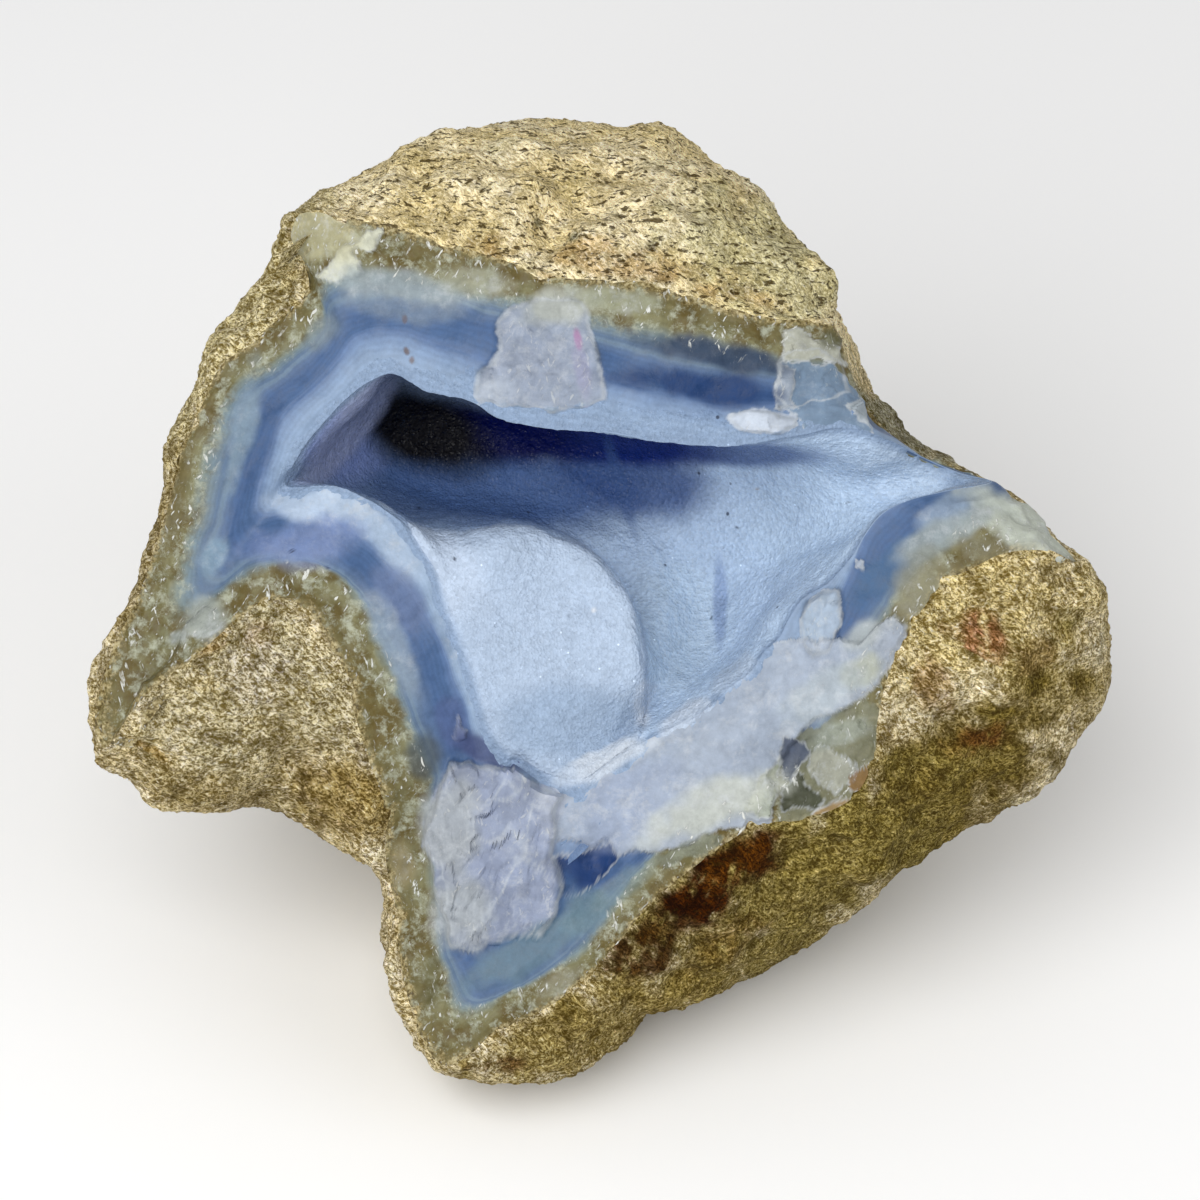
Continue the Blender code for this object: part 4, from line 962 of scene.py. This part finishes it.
def glint_strokes(nodes, turn, size):
    """Short irregular bright streaks along a turned axis, in clumps: painted glints of small chips.
    """
    slanted = nodes.place((0.7, 0.7, 2.6), turn)
    stroke = nodes.ramp(nodes.noise(size, 2.0, 0.5, 0.1, slanted), ((0.64, 0.0), (0.69, 1.0)))
    clumps = nodes.ramp(nodes.noise(0.003, 4.0, 0.7), ((0.44, 0.0), (0.56, 1.0)))
    return nodes.times(stroke, clumps)


def agate_material(look):
    """Waxy stone: bands with painted colours, light and shade over them, cloudy mottling and
    small slanting chips with painted glints."""
    nodes = Nodes("agate")
    frost = nodes.mark("frost")
    base = banding(nodes, look)
    brown = nodes.ramp(nodes.noise(0.004, 5.0, 0.7), ((0.45, 0.0), (0.6, 0.85)))
    base = nodes.mix(nodes.times(brown, frost), base, (*screen(100, 84, 36), 1))
    milky = nodes.ramp(nodes.noise(0.0018, 6.0, 0.75, 0.15), ((0.5, 0.0), (0.64, 0.85)))
    milky = nodes.times(milky, frost)
    base = nodes.mix(milky, base, (*screen(192, 196, 174), 1))
    ragged = nodes.spread(nodes.noise(0.0012, 5.0, 0.8), 0.3, 0.7, -0.05, 0.05)
    fringe = nodes.ramp(nodes.math("ADD", nodes.mark("band"), ragged), ((0.95, 0.0), (0.99, 1.0)))
    crumbs = nodes.ramp(nodes.noise(0.0005, 4.0, 0.7), (
        (0.42, 84, 66, 22), (0.5, 160, 142, 92), (0.62, 214, 200, 156)), colours=True)
    base = nodes.mix(nodes.times(fringe, 0.9), base, crumbs)
    # The painted colours hold painted highlights on ledge and shard edges and painted shadow in the
    # navy notch.
    base = nodes.mix(nodes.mark("colour_light_and_shade", "Alpha"), base, nodes.mark("colour_light_and_shade", "Color"))
    veil = nodes.ramp(nodes.noise(0.0022, 6.0, 0.75, 0.3), ((0.5, 0.0), (0.66, 0.5)))
    veil = nodes.times(veil, nodes.mark("colour_light_and_shade", "Alpha"))
    veil = nodes.times(veil, nodes.spread(nodes.mark("colour_light_and_shade", "Color"), 0.15, 0.35))
    base = nodes.mix(veil, base, (*screen(214, 219, 224), 1))
    cloud = nodes.spread(nodes.noise(0.0016, 6.0, 0.7), 0.25, 0.75, 0.753, 1.158)
    base = nodes.tint(base, cloud)
    # Painted glints of the small chips, which also give them their bump.
    chip_glints = nodes.math("MAXIMUM", glint_strokes(nodes, SLANT, 0.0006), glint_strokes(nodes, OTHER_SLANT, 0.0007))
    chip_glints = nodes.times(chip_glints, frost)
    base = nodes.mix(nodes.times(chip_glints, 0.9), base, (*screen(240, 242, 236), 1))
    gloss = nodes.spread(nodes.noise(0.0016, 3.0), 0.3, 0.7, 0.3, 0.55)
    height = nodes.math("ADD", nodes.noise(0.0012, 4.0, 0.6), nodes.times(milky, 0.5))
    normal = nodes.bump(height, 0.0003, 0.4)
    return nodes.finish(
        Base_Color=base, Roughness=gloss, Normal=nodes.bump(chip_glints, 0.0002, 0.6, normal), IOR=1.54,
        Specular_IOR_Level=0.2,
    )


def rind_material():
    """Granular weathered rock: whitish and tan grains with brown gaps between them, stains, and
    long dark pits where it is worn, dark partly as painted shade for their depth."""
    nodes = Nodes("rind")
    base = nodes.ramp(nodes.noise(0.009, 4.0, 0.6), (
        (0.3, 206, 188, 134), (0.45, 226, 208, 158), (0.58, 238, 224, 184), (0.72, 214, 204, 162),
    ), colours=True)
    # The painted colours hold painted shade on the sides that face down.
    base = nodes.mix(nodes.mark("colour_light_and_shade", "Alpha"), base, nodes.mark("colour_light_and_shade", "Color"))
    worn = nodes.mark("worn")
    first = nodes.noise(0.0003, 4.0, 0.7, 0.5, nodes.place((1.0, 1.0, 4.5), (0.5, 0.9, 0.0)))
    second = nodes.noise(0.0003, 4.0, 0.7, 0.5, nodes.place((1.0, 1.0, 4.5), (-0.9, -0.9, 0.3)))
    grain = nodes.math("MAXIMUM", first, second)
    clump = nodes.noise(0.0022, 5.0, 0.7)
    base = nodes.tint(base, nodes.spread(clump, 0.3, 0.7, 0.8, 1.4))
    base = nodes.tint(base, nodes.spread(worn, 0.0, 1.0, 1.35, 1.8))
    dark = nodes.tint(base, (0.2, 0.155, 0.04, 1))
    shadow = nodes.ramp(clump, ((0.34, 0.75), (0.5, 0.0)))
    shadow = nodes.times(shadow, nodes.spread(worn, 0.0, 1.0, 1.0, 0.35))
    base = nodes.mix(shadow, base, dark)
    blotch = nodes.noise(0.001, 7.0, 0.85, 0.3)
    hollows = nodes.ramp(blotch, ((0.42, 1.0), (0.46, 0.0)))
    hollows = nodes.times(hollows, nodes.spread(worn, 0.0, 1.0, 0.7, 0.3))
    base = nodes.mix(hollows, base, dark)
    bleached = nodes.ramp(blotch, ((0.52, 0.0), (0.62, 0.6)))
    bleached = nodes.times(bleached, nodes.spread(worn, 0.0, 1.0, 1.0, 0.5))
    base = nodes.mix(bleached, base, nodes.tint(base, (1.5, 1.6, 2.4, 1)))
    gap = nodes.ramp(grain, ((0.5, 1.0), (0.55, 0.0)))
    gap = nodes.times(gap, nodes.spread(worn, 0.0, 1.0, 0.9, 0.6))
    base = nodes.mix(gap, base, dark)
    crest = nodes.ramp(grain, ((0.6, 0.0), (0.65, 1.0)))
    crest = nodes.times(crest, nodes.spread(worn, 0.0, 1.0, 0.7, 0.6))
    light = nodes.tint(base, (2.4, 2.4, 3.6, 1))
    base = nodes.mix(crest, base, nodes.mix(1.0, light, (1.0, 0.95, 0.8, 1), "DARKEN"))
    lying = nodes.place((2.4, 1.0, 0.8), (0.0, 0.1, 0.0))
    small = nodes.ramp(nodes.noise(0.0005, 3.0, 0.6, 0.3, lying), ((0.37, 1.0), (0.43, 0.0)))
    large = nodes.ramp(nodes.noise(0.0016, 3.0, 0.7, 0.4, lying), ((0.31, 1.0), (0.36, 0.0)))
    pit_and_shade = nodes.math("MAXIMUM", small, large)
    pit_and_shade = nodes.times(pit_and_shade, nodes.spread(worn, 0.0, 1.0, 0.35, 0.9))
    # The pits' dark brown is partly painted shade for their depth.
    base = nodes.mix(pit_and_shade, base, (*screen(82, 62, 18), 1))
    height = nodes.math("SUBTRACT", grain, nodes.times(pit_and_shade, 0.8))
    return nodes.finish(
        Base_Color=base, Roughness=0.82, Normal=nodes.bump(height, 0.0007, 0.9),
        Specular_IOR_Level=0.06,
    )


def druse_material(look):
    """Sugar-like crystals: soft blue with painted light and shade over the wall's bands, sparkle
    painted in clumps and from facets with their own tilt and gloss, and a few dark specks."""
    nodes = Nodes("druse")
    # The painted colours hold the lining's painted light and shade.
    base = nodes.mix(nodes.mark("colour_light_and_shade", "Alpha"), banding(nodes, look),
                     nodes.mark("colour_light_and_shade", "Color"))
    tone = nodes.spread(nodes.noise(0.0035, 4.0, 0.6), 0.3, 0.7, 0.926, 1.044)
    base = nodes.tint(base, tone)
    sugar = nodes.cells(look.crystal_size, "Color")
    bright = nodes.spread(nodes.add("SeparateColor", {"Color": sugar}).outputs[0], 0, 1, 0.9, 1.1)
    base = nodes.tint(base, bright)
    # Painted sparkle: small cells made brighter, in clumps.
    painted_sparkle = nodes.ramp(nodes.cells(0.0014), ((0.06, 1.0), (0.1, 0.0)))
    clumps = nodes.ramp(nodes.noise(0.002, 3.0), ((0.5, 0.0), (0.58, 1.0)))
    painted_sparkle = nodes.times(painted_sparkle, clumps)
    base = nodes.mix(painted_sparkle, base, nodes.tint(base, (1.9, 1.8, 1.7, 1)))
    speck = nodes.ramp(nodes.cells(0.006), ((0.025, 1.0), (0.045, 0.0)))
    base = nodes.mix(nodes.times(speck, 0.8), base, (*screen(40, 48, 70), 1))
    gloss = nodes.ramp(sugar, ((0.3, 0.25), (0.75, 0.7)))
    facets = nodes.math("ADD", nodes.cells(look.crystal_size), nodes.noise(0.0003, 2.0))
    normal = nodes.bump(facets, 0.00014, 0.8)
    return nodes.finish(
        Base_Color=base, Roughness=gloss, Normal=normal, IOR=1.54, Specular_IOR_Level=0.2,
    )


def band_place(steps, stations):
    """Where each point lies in the banding, 0 to 1: a quarter for each of pale, dark, light and
    olive, whose ends differ from station to station."""
    ends = [along_ring(table, stations)[:, 0] for table in (PALE_END, DARK_END, OLIVE_START)]
    knots = [np.zeros_like(ends[0])] + ends + [np.full_like(ends[0], 2.0)]
    step = np.asarray(steps)[:, None]
    place = np.zeros((len(steps), len(stations)))
    for before, after in zip(knots, knots[1:]):
        place += 0.25 * np.clip((step - before) / np.maximum(after - before, 1e-3), 0, 1)
    return place


def wall_rise(seen, flat, steps, band):
    """Height of the broken face over its straight shape: broad dents and swellings, a low step
    where the pale band ends, and the shards; none at the lip and the rind."""
    rise = relief(seen) + 0.4 * waves(seen, 9.0, 5) + 0.2 * rough(flat, 5.0, 75, octaves=3)
    rise += 0.12 * smooth((0.25 - band) / 0.02)
    edge = 0.35 * rough(seen * (1, 1, 0), 2.4, 81, octaves=4, fall=0.7)
    broken = np.zeros(rise.shape)
    for outline, height, _, _, faceted in SHARDS:
        within = smooth((inside_outline(seen, outline) + edge) / 0.4)
        broken += (faceted - broken) * within
        rise += height * within
    rise += broken * facets(seen)[1]
    return rise * (smooth(steps / 0.4) * smooth((RIND_STEP - steps) / 0.1))[:, None]


class GeodeLook(bpy.types.PropertyGroup):
    """Sizes of the stone's lumps, grains and crystals, and how many lace lines its bands have."""

    big_lump: FloatProperty(
        name="Big lumps", description="Height of the rind's big lumps, in millimetres",
        default=1.6, min=0.0, max=4.0)
    small_lump: FloatProperty(
        name="Small lumps", description="Height of the rind's small lumps, in millimetres",
        default=1.0, min=0.0, max=3.0)
    grain_height: FloatProperty(
        name="Grain height", description="Height of the rind's grains, in millimetres",
        default=0.3, min=0.0, max=1.0)
    crystal_height: FloatProperty(
        name="Crystal height", description="Height of the crystals, in millimetres",
        default=0.07, min=0.0, max=1.0)
    crystal_size: FloatProperty(
        name="Crystal size", description="Width of one crystal",
        default=0.00035, min=0.0001, max=0.005, unit="LENGTH", precision=5)
    lace_lines: FloatProperty(
        name="Lace lines", description="How many fine lines the banding has from lip to rind",
        default=26.0, min=0.0, max=80.0)


class GeodeStage(bpy.types.PropertyGroup):
    """Floor and light."""

    floor_colour: FloatVectorProperty(
        name="Floor colour", description="Colour of the plain floor", subtype="COLOR",
        size=3, default=(0.98, 0.98, 0.98), min=0.0, max=1.0)
    key_power: FloatProperty(
        name="Key light", description="Power of the main soft light",
        default=7.5, min=0.0, max=500.0, unit="POWER")
    fill_power: FloatProperty(
        name="Fill light", description="Power of the soft light from the right",
        default=1.2, min=0.0, max=500.0, unit="POWER")
    sky_strength: FloatProperty(
        name="Sky strength", description="Brightness of the even light from all sides",
        default=0.44, min=0.0, max=10.0)


class GEODE_OT_agate_wall(bpy.types.Operator):
    """Add the banded wall on the broken face, with its ledges and flakes"""

    bl_idname = "geode.agate_wall"
    bl_label = "Agate wall"

    def execute(self, context):
        look = context.scene.geode_look
        stations = even_stations(WALL_COLUMNS)
        steps = even_steps(face_surface, 0.0, RIND_STEP, WALL_ROWS)
        seen = face_surface(steps, stations)
        ragged = 0.5 * rough(seen, 1.8, 21, octaves=2)
        cover, seams, lift = np.zeros((3,) + seen.shape[:2])
        wobble = seen + 0.8 * noise(seen, 2.5, 53)[..., None]
        nearest, second = cells(wobble, SHELL_SIZE, 52)[:2]
        shells = SHELL_SIZE * nearest ** 2
        for outline, top, across_slope, up_slope, height in LEDGES:
            plane = (top + (seen[..., 0] - outline[0][0]) * across_slope
                     + (seen[..., 1] - outline[0][1]) * up_slope)
            plane = plane + 0.3 * shells - 0.4
            share = smooth((inside_outline(seen, outline) + ragged + 0.1) / 0.45)
            lift = np.maximum(lift, np.maximum(plane - seen[..., 2], 0.0) * share * height)
            cover = np.maximum(cover, share)
            seams = np.maximum(seams, share * height ** 4)
        cover = average_columns(cover)
        seen[..., 2] += average_columns(lift)
        flat = to_stone(seen)
        normals = grid_normals(to_stone(face_surface(steps, stations)))
        band = band_place(steps, stations)
        frost = smooth((band - 0.58) / 0.2) * (1 - cover) + 0.35 * cover
        chipped = smooth(0.6 + rough(flat, 4.0, 77, octaves=2)) * frost * (1 - cover)
        chips = 0.3 * scallops(seen, 3.2, 61) + 0.25 * scallops(seen, 1.4, 63) - 0.35
        ends = (smooth(steps / 0.08) * smooth((RIND_STEP - steps) / 0.1))[:, None]
        rise = (chips + 0.08 * rough(flat, 0.9, 71, octaves=2)) * chipped * ends
        top = flat + normals * (rise + wall_rise(seen, flat, steps, band))[..., None]
        inner, middle = 20, 50
        width = np.linalg.norm(flat[-1] - flat[inner], axis=-1)
        depth = np.clip(0.3 * width, 0.3, 2.2)[:, None]
        under = np.stack((
            to_stone(face_surface((1.96,), stations))[0] - normals[-1] * depth,
            flat[middle] - normals[middle] * depth * 1.3,
            to_stone(face_surface((0.06,), stations))[0] - normals[0] * depth,
        ))
        colour_light_and_shade = paint(seen, WALL_PATCHES, 81, shards=SHARDS)
        # Painted highlight on the ledges' cliffs, partly the pale of their broken edges, and pale
        # ridge lines on the slab.
        edge_highlight_and_ridges = smooth(1.6 - np.abs(cover - 0.5) * 4) * 0.5
        edge_highlight_and_ridges = np.maximum(edge_highlight_and_ridges, 0.4 * smooth(1 - (second - nearest) / 0.05) * seams)
        lay_over(colour_light_and_shade[..., :3], colour_light_and_shade[..., 3], CLIFF_PALE_AND_HIGHLIGHT, edge_highlight_and_ridges)
        marks = {"band": band, "frost": frost, "colour_light_and_shade": colour_light_and_shade}
        mesh = grid_mesh("agate_wall", np.concatenate((top, under)), marks)
        mesh.shade_smooth()
        mesh.set_sharp_from_angle(angle=math.radians(50))
        add_piece(mesh, "geode_stone", agate_material(look))
        return {"FINISHED"}


def add_rind(name, rows, lining, marks, poles=False):
    """One part of the rind: outer rows closed by rows inside the stone."""
    lining[..., 2] = np.maximum(lining[..., 2], 0.5)
    if poles:
        order = (lining, rows)
        marks = {label: np.concatenate((np.repeat(table[:1], len(lining), axis=0), table))
                 for label, table in marks.items()}
    else:
        order = (rows, lining)
    mesh = grid_mesh(name, np.concatenate(order), marks, poles)
    mesh.shade_smooth()
    mesh.set_sharp_from_angle(angle=math.radians(75))
    material = bpy.data.materials.get("rind") or rind_material()
    add_piece(mesh, "geode_stone", material)


class GEODE_OT_rind(bpy.types.Operator):
    """Add the rind: round the broken face, along the sides and over the back"""

    bl_idname = "geode.rind"
    bl_label = "Rind"

    def execute(self, context):
        look = context.scene.geode_look
        stations = even_stations(RIND_COLUMNS, (OUTLINE, RIND_EDGE))
        front = even_steps(rind_surface, 0.0, 1.0, FRONT_ROWS)
        side = even_steps(back_surface, 0.0, SIDE_END, BACK_ROWS)
        back = even_steps(back_surface, SIDE_END, 1.0, BACK_ROWS)
        steps = np.concatenate((front - 1.0, side[1:], back[1:]))
        behind = back_surface(np.concatenate((side[1:], back[1:])), stations)
        seen = np.concatenate((rind_surface(front, stations), behind))
        flat = to_stone(seen)
        normals = grid_normals(flat)
        normals[-1] = normals[-2].mean(axis=0)
        lumps = look.big_lump * waves(seen, 17.0, 3) + look.small_lump * waves(seen, 7.5, 4)
        grains = look.grain_height * rough(flat, 2.2, 11, octaves=4, fall=0.8)
        share = np.where(steps < 0, OUTLINE_SHARE - OUTLINE_SHARE * steps / 0.2,
                         OUTLINE_SHARE + OUTLINE_SHARE * steps / 0.1)
        off_edge = smooth((1 + steps) / 0.16)
        share = np.minimum(1.0, share) * off_edge
        thin = (1 - smooth((np.abs(stations - 11.2) - 1.6) / 1.4)) * 0.85
        even = 1 - thin * smooth((0.4 - steps) / 0.3)[:, None]
        rise = relief(seen) * (off_edge * smooth(1 - steps / 0.1))[:, None]
        rise += lumps * share[:, None] * even
        rise += grains * smooth((1 + steps) / 0.03)[:, None] * (0.4 + 0.6 * even)
        rise[-1] = rise[-1, 0]
        skin = flat + normals * rise[..., None]
        skin[..., 2] = np.maximum(skin[..., 2], 0.0)
        inner = flat - normals * RIND_DEPTH
        tones_and_shade = paint(seen, RIND_TONES_AND_SHADE, 95, ragged=0.5)
        spots = paint(seen, RIND_PATCHES, 91, ragged=0.6)
        tones_and_shade[..., 3] *= smooth((seen[..., 2] + 60) / 25)
        spots[..., 3] *= (steps < 0.05)[:, None]
        spots[..., 3] *= smooth(1.1 + 0.9 * rough(flat, 1.1, 93, octaves=3))
        colour_light_and_shade = laid(tones_and_shade, spots)
        worn = smooth((seen[..., 1] - 20) / 10) * smooth((seen[..., 0] + 34) / 8)
        first, second = len(front), len(front) + len(side) - 1
        for name, low, high in (("front_rind", 0, first), ("side_rind", first - 1, second)):
            marks = {"colour_light_and_shade": colour_light_and_shade[low:high], "worn": worn[low:high]}
            lining = inner[[high - 1, (low + high) // 2, low]]
            add_rind(name, skin[low:high], lining, marks)
        marks = {"colour_light_and_shade": colour_light_and_shade[second - 1:], "worn": worn[second - 1:]}
        add_rind("back_rind", skin[second - 1:], inner[:second - 2:-12], marks, poles=True)
        return {"FINISHED"}


class GEODE_OT_druse(bpy.types.Operator):
    """Add the crust of small crystals that lines the hollow"""

    bl_idname = "geode.druse"
    bl_label = "Crystal lining"

    def execute(self, context):
        look = context.scene.geode_look
        stations = even_stations(DRUSE_COLUMNS, (LIP, HOLLOW_RIM, HOLLOW_WALL, HOLLOW_DEEP))
        steps = even_steps(hollow_surface, 0.0, LIP_STEP, DRUSE_ROWS)
        over = np.linspace(0.04, 0.56, OVERLAP_ROWS)
        seen = np.concatenate((hollow_surface(steps, stations), face_surface(over, stations)))
        steps = np.concatenate((steps, LIP_STEP + over))
        near_pole = smooth((2.1 - steps) / 1.2)
        seen = damp_waves(seen, 3.0 * smooth((LIP_STEP - steps) / 0.9) + 7.0 * near_pole)
        seen[..., 2] += relief(seen, FILL) * smooth((3.4 - steps) / 1.0)[:, None]
        seen = soften(seen, 90, np.where(steps < LIP_STEP, 0.1 * (1 - near_pole), 1.0))
        within = inside_outline(seen, MOUND[0][0]) + 0.25 * rough(seen, 1.6, 23, octaves=2)
        crest = smooth(within / 0.5) * np.exp(-(np.maximum(within, 0) / 5.0) ** 2)
        crest *= (smooth((steps - 1.2) / 0.6) * smooth((3.8 - steps) / 0.5))[:, None]
        seen[..., 2] += CREST_HEIGHT * crest
        flat = to_stone(seen)
        normals = grid_normals(flat)
        normals[0] = normals[1].mean(axis=0)
        crystals = look.crystal_height * rough(flat, 0.7, 3, octaves=2, fall=0.8)
        crystals += 0.08 * rough(flat, 1.6, 13, octaves=2)
        reach = along_ring(SUGAR_END, stations)[:, 0]
        reach = reach * (1 + 0.5 * rough(flat, 3.0, 19, octaves=4, fall=0.7))
        past = (steps - LIP_STEP)[:, None] - reach
        sugar = smooth((0.2 - past) / 0.45)
        off_pole = smooth((steps - 0.02) / 0.3)[:, None]
        rise = (crystals * off_pole + 0.2) * sugar - 0.1
        rise += 0.4 * smooth((LIP_STEP - steps) / 0.4)[:, None]
        swell = 0.25 * rough(flat, 6.0, 17, octaves=2) * off_pole
        rise += swell * smooth((LIP_STEP - steps) / 0.5)[:, None]
        band = np.zeros(seen.shape[:2])
        band[-len(over):] = band_place(over, stations)
        rise += wall_rise(seen, flat, np.maximum(steps - LIP_STEP, 0.0), band)
        rise[0] = rise[0, 0]
        index = np.stack(np.meshgrid(np.arange(len(steps)), np.arange(len(stations)),
                                     indexing="ij") + [np.zeros(seen.shape[:2])], axis=-1)
        along = (np.roll(flat, -1, axis=1) - np.roll(flat, 1, axis=1)) / 2
        shift = (scatter(index, 7)[..., None] - 0.5) * along
        shift += (scatter(index, 8)[..., None] - 0.5) * np.gradient(flat, axis=0)
        shift[[0, -1]] = 0.0
        top = flat + normals * rise[..., None] + shift * 0.3
        lip = len(steps) - OVERLAP_ROWS - 1
        below = np.concatenate((
            flat[-1:] - normals[-1:] * CRUST_DEPTH,
            to_stone(hollow_surface((3.9,), stations)) - normals[lip:lip + 1] * CRUST_DEPTH,
            (flat - normals * CRUST_DEPTH)[lip - 11::-14],
        ))
        below[-1] = below[-1].mean(axis=0)
        # Painted shadow in the cave and under the lip, painted shade in the folds and painted light
        # on the floor, over the lining's own blue.
        colour_light_and_shade = paint(seen, DRUSE_COLOUR_LIGHT_AND_SHADE, 101, 0.08)
        # The mound's colour, with painted light at its upper left and painted shade lower down.
        mound = paint(seen, MOUND_LIGHT_AND_SHADE, 103, 0.12, MOUND)
        mound[..., 3] *= smooth((inside_outline(seen, MOUND[0][0]) + 0.2) / 0.3)
        dots = [(x, y, 0.16, 0.16, 0, shade, 0.85) for x, y, shade in DOTS]
        colour_light_and_shade = laid(laid(colour_light_and_shade, mound), paint(seen, dots, 105, 0.05))
        colour_light_and_shade[..., 3] *= smooth((LIP_STEP - steps) / 0.35)[:, None]
        colour_light_and_shade = laid(colour_light_and_shade, paint(seen, SUGAR_PATCHES, 107, 0.8))
        mesh = grid_mesh("druse", np.concatenate((top, below)), {"colour_light_and_shade": colour_light_and_shade, "band": band},
                         poles=True)
        add_piece(mesh, "druzy_crust", druse_material(look))
        return {"FINISHED"}


def soft_light(name, spot, size, power):
    """Square area light at spot, aimed at the stone."""
    light = bpy.data.lights.new(name, "AREA")
    light.shape, light.size, light.energy = "SQUARE", size, power
    lamp = bpy.data.objects.new(name, light)
    bpy.context.scene.collection.objects.link(lamp)
    aim(lamp, spot, (0.0, 0.0, 0.045))


def aim(thing, spot, target):
    """Puts a lamp or camera at spot with its -Z axis towards target."""
    thing.location = spot
    way = np.array(target) - np.array(spot)
    level = math.hypot(way[0], way[1])
    thing.rotation_euler = (math.atan2(level, -way[2]), 0.0, math.atan2(-way[0], way[1]))


class GEODE_OT_stage(bpy.types.Operator):
    """Add the floor, the lights and the camera"""

    bl_idname = "geode.stage"
    bl_label = "Stage"

    def execute(self, context):
        stage = context.scene.geode_stage
        bpy.ops.mesh.primitive_plane_add(size=6.0, location=(0, 0, -0.0002))
        floor = context.object
        floor.name = "floor"
        paper = Nodes("floor")
        floor.data.materials.append(paper.finish(
            Base_Color=(*stage.floor_colour, 1), Roughness=0.9))
        soft_light("key_light", (-0.3, -0.58, 0.7), 0.8, stage.key_power)
        soft_light("fill_light", (0.6, -0.35, 0.5), 0.6, stage.fill_power)
        sky = bpy.data.worlds.new("sky")
        sky.use_nodes = True
        sky.node_tree.nodes["Background"].inputs["Color"].default_value = (1, 1, 1, 1)
        sky.node_tree.nodes["Background"].inputs["Strength"].default_value = stage.sky_strength
        context.scene.world = sky
        context.scene.view_settings.view_transform = "Standard"

        lens = bpy.data.cameras.new("camera")
        lens.sensor_width = SENSOR_WIDTH
        lens.lens = SENSOR_WIDTH * EYE_DISTANCE / FRAME_WIDTH
        lens.clip_start = 0.05
        camera = bpy.data.objects.new("camera", lens)
        context.scene.collection.objects.link(camera)
        middle = to_stone(np.zeros(3)) * MM
        eye = to_stone(np.array((0.0, 0.0, EYE_DISTANCE - 1e-6))) * MM
        aim(camera, tuple(eye), tuple(middle))
        context.scene.camera = camera
        return {"FINISHED"}


class GEODE_PT_panel(bpy.types.Panel):
    """Buttons and settings for the geode"""

    bl_idname = "GEODE_PT_panel"
    bl_label = "Geode"
    bl_space_type = "VIEW_3D"
    bl_region_type = "UI"
    bl_category = "Geode"

    def draw(self, context):
        for settings in (context.scene.geode_look, context.scene.geode_stage):
            box = self.layout.box()
            for name in settings.__annotations__:
                box.prop(settings, name)
        for operator in OPERATORS:
            self.layout.operator(operator.bl_idname)


OPERATORS = (
    GEODE_OT_agate_wall, GEODE_OT_rind, GEODE_OT_druse, GEODE_OT_stage,
)
CLASSES = (GeodeLook, GeodeStage) + OPERATORS + (GEODE_PT_panel,)


def register():
    for each in CLASSES:
        bpy.utils.register_class(each)
    bpy.types.Scene.geode_look = PointerProperty(type=GeodeLook)
    bpy.types.Scene.geode_stage = PointerProperty(type=GeodeStage)


def unregister():
    del bpy.types.Scene.geode_stage
    del bpy.types.Scene.geode_look
    for each in reversed(CLASSES):
        bpy.utils.unregister_class(each)


def main():
    register()
    bpy.ops.geode.agate_wall()
    bpy.ops.geode.rind()
    bpy.ops.geode.druse()
    bpy.ops.geode.stage()


if __name__ == "__main__":
    main()
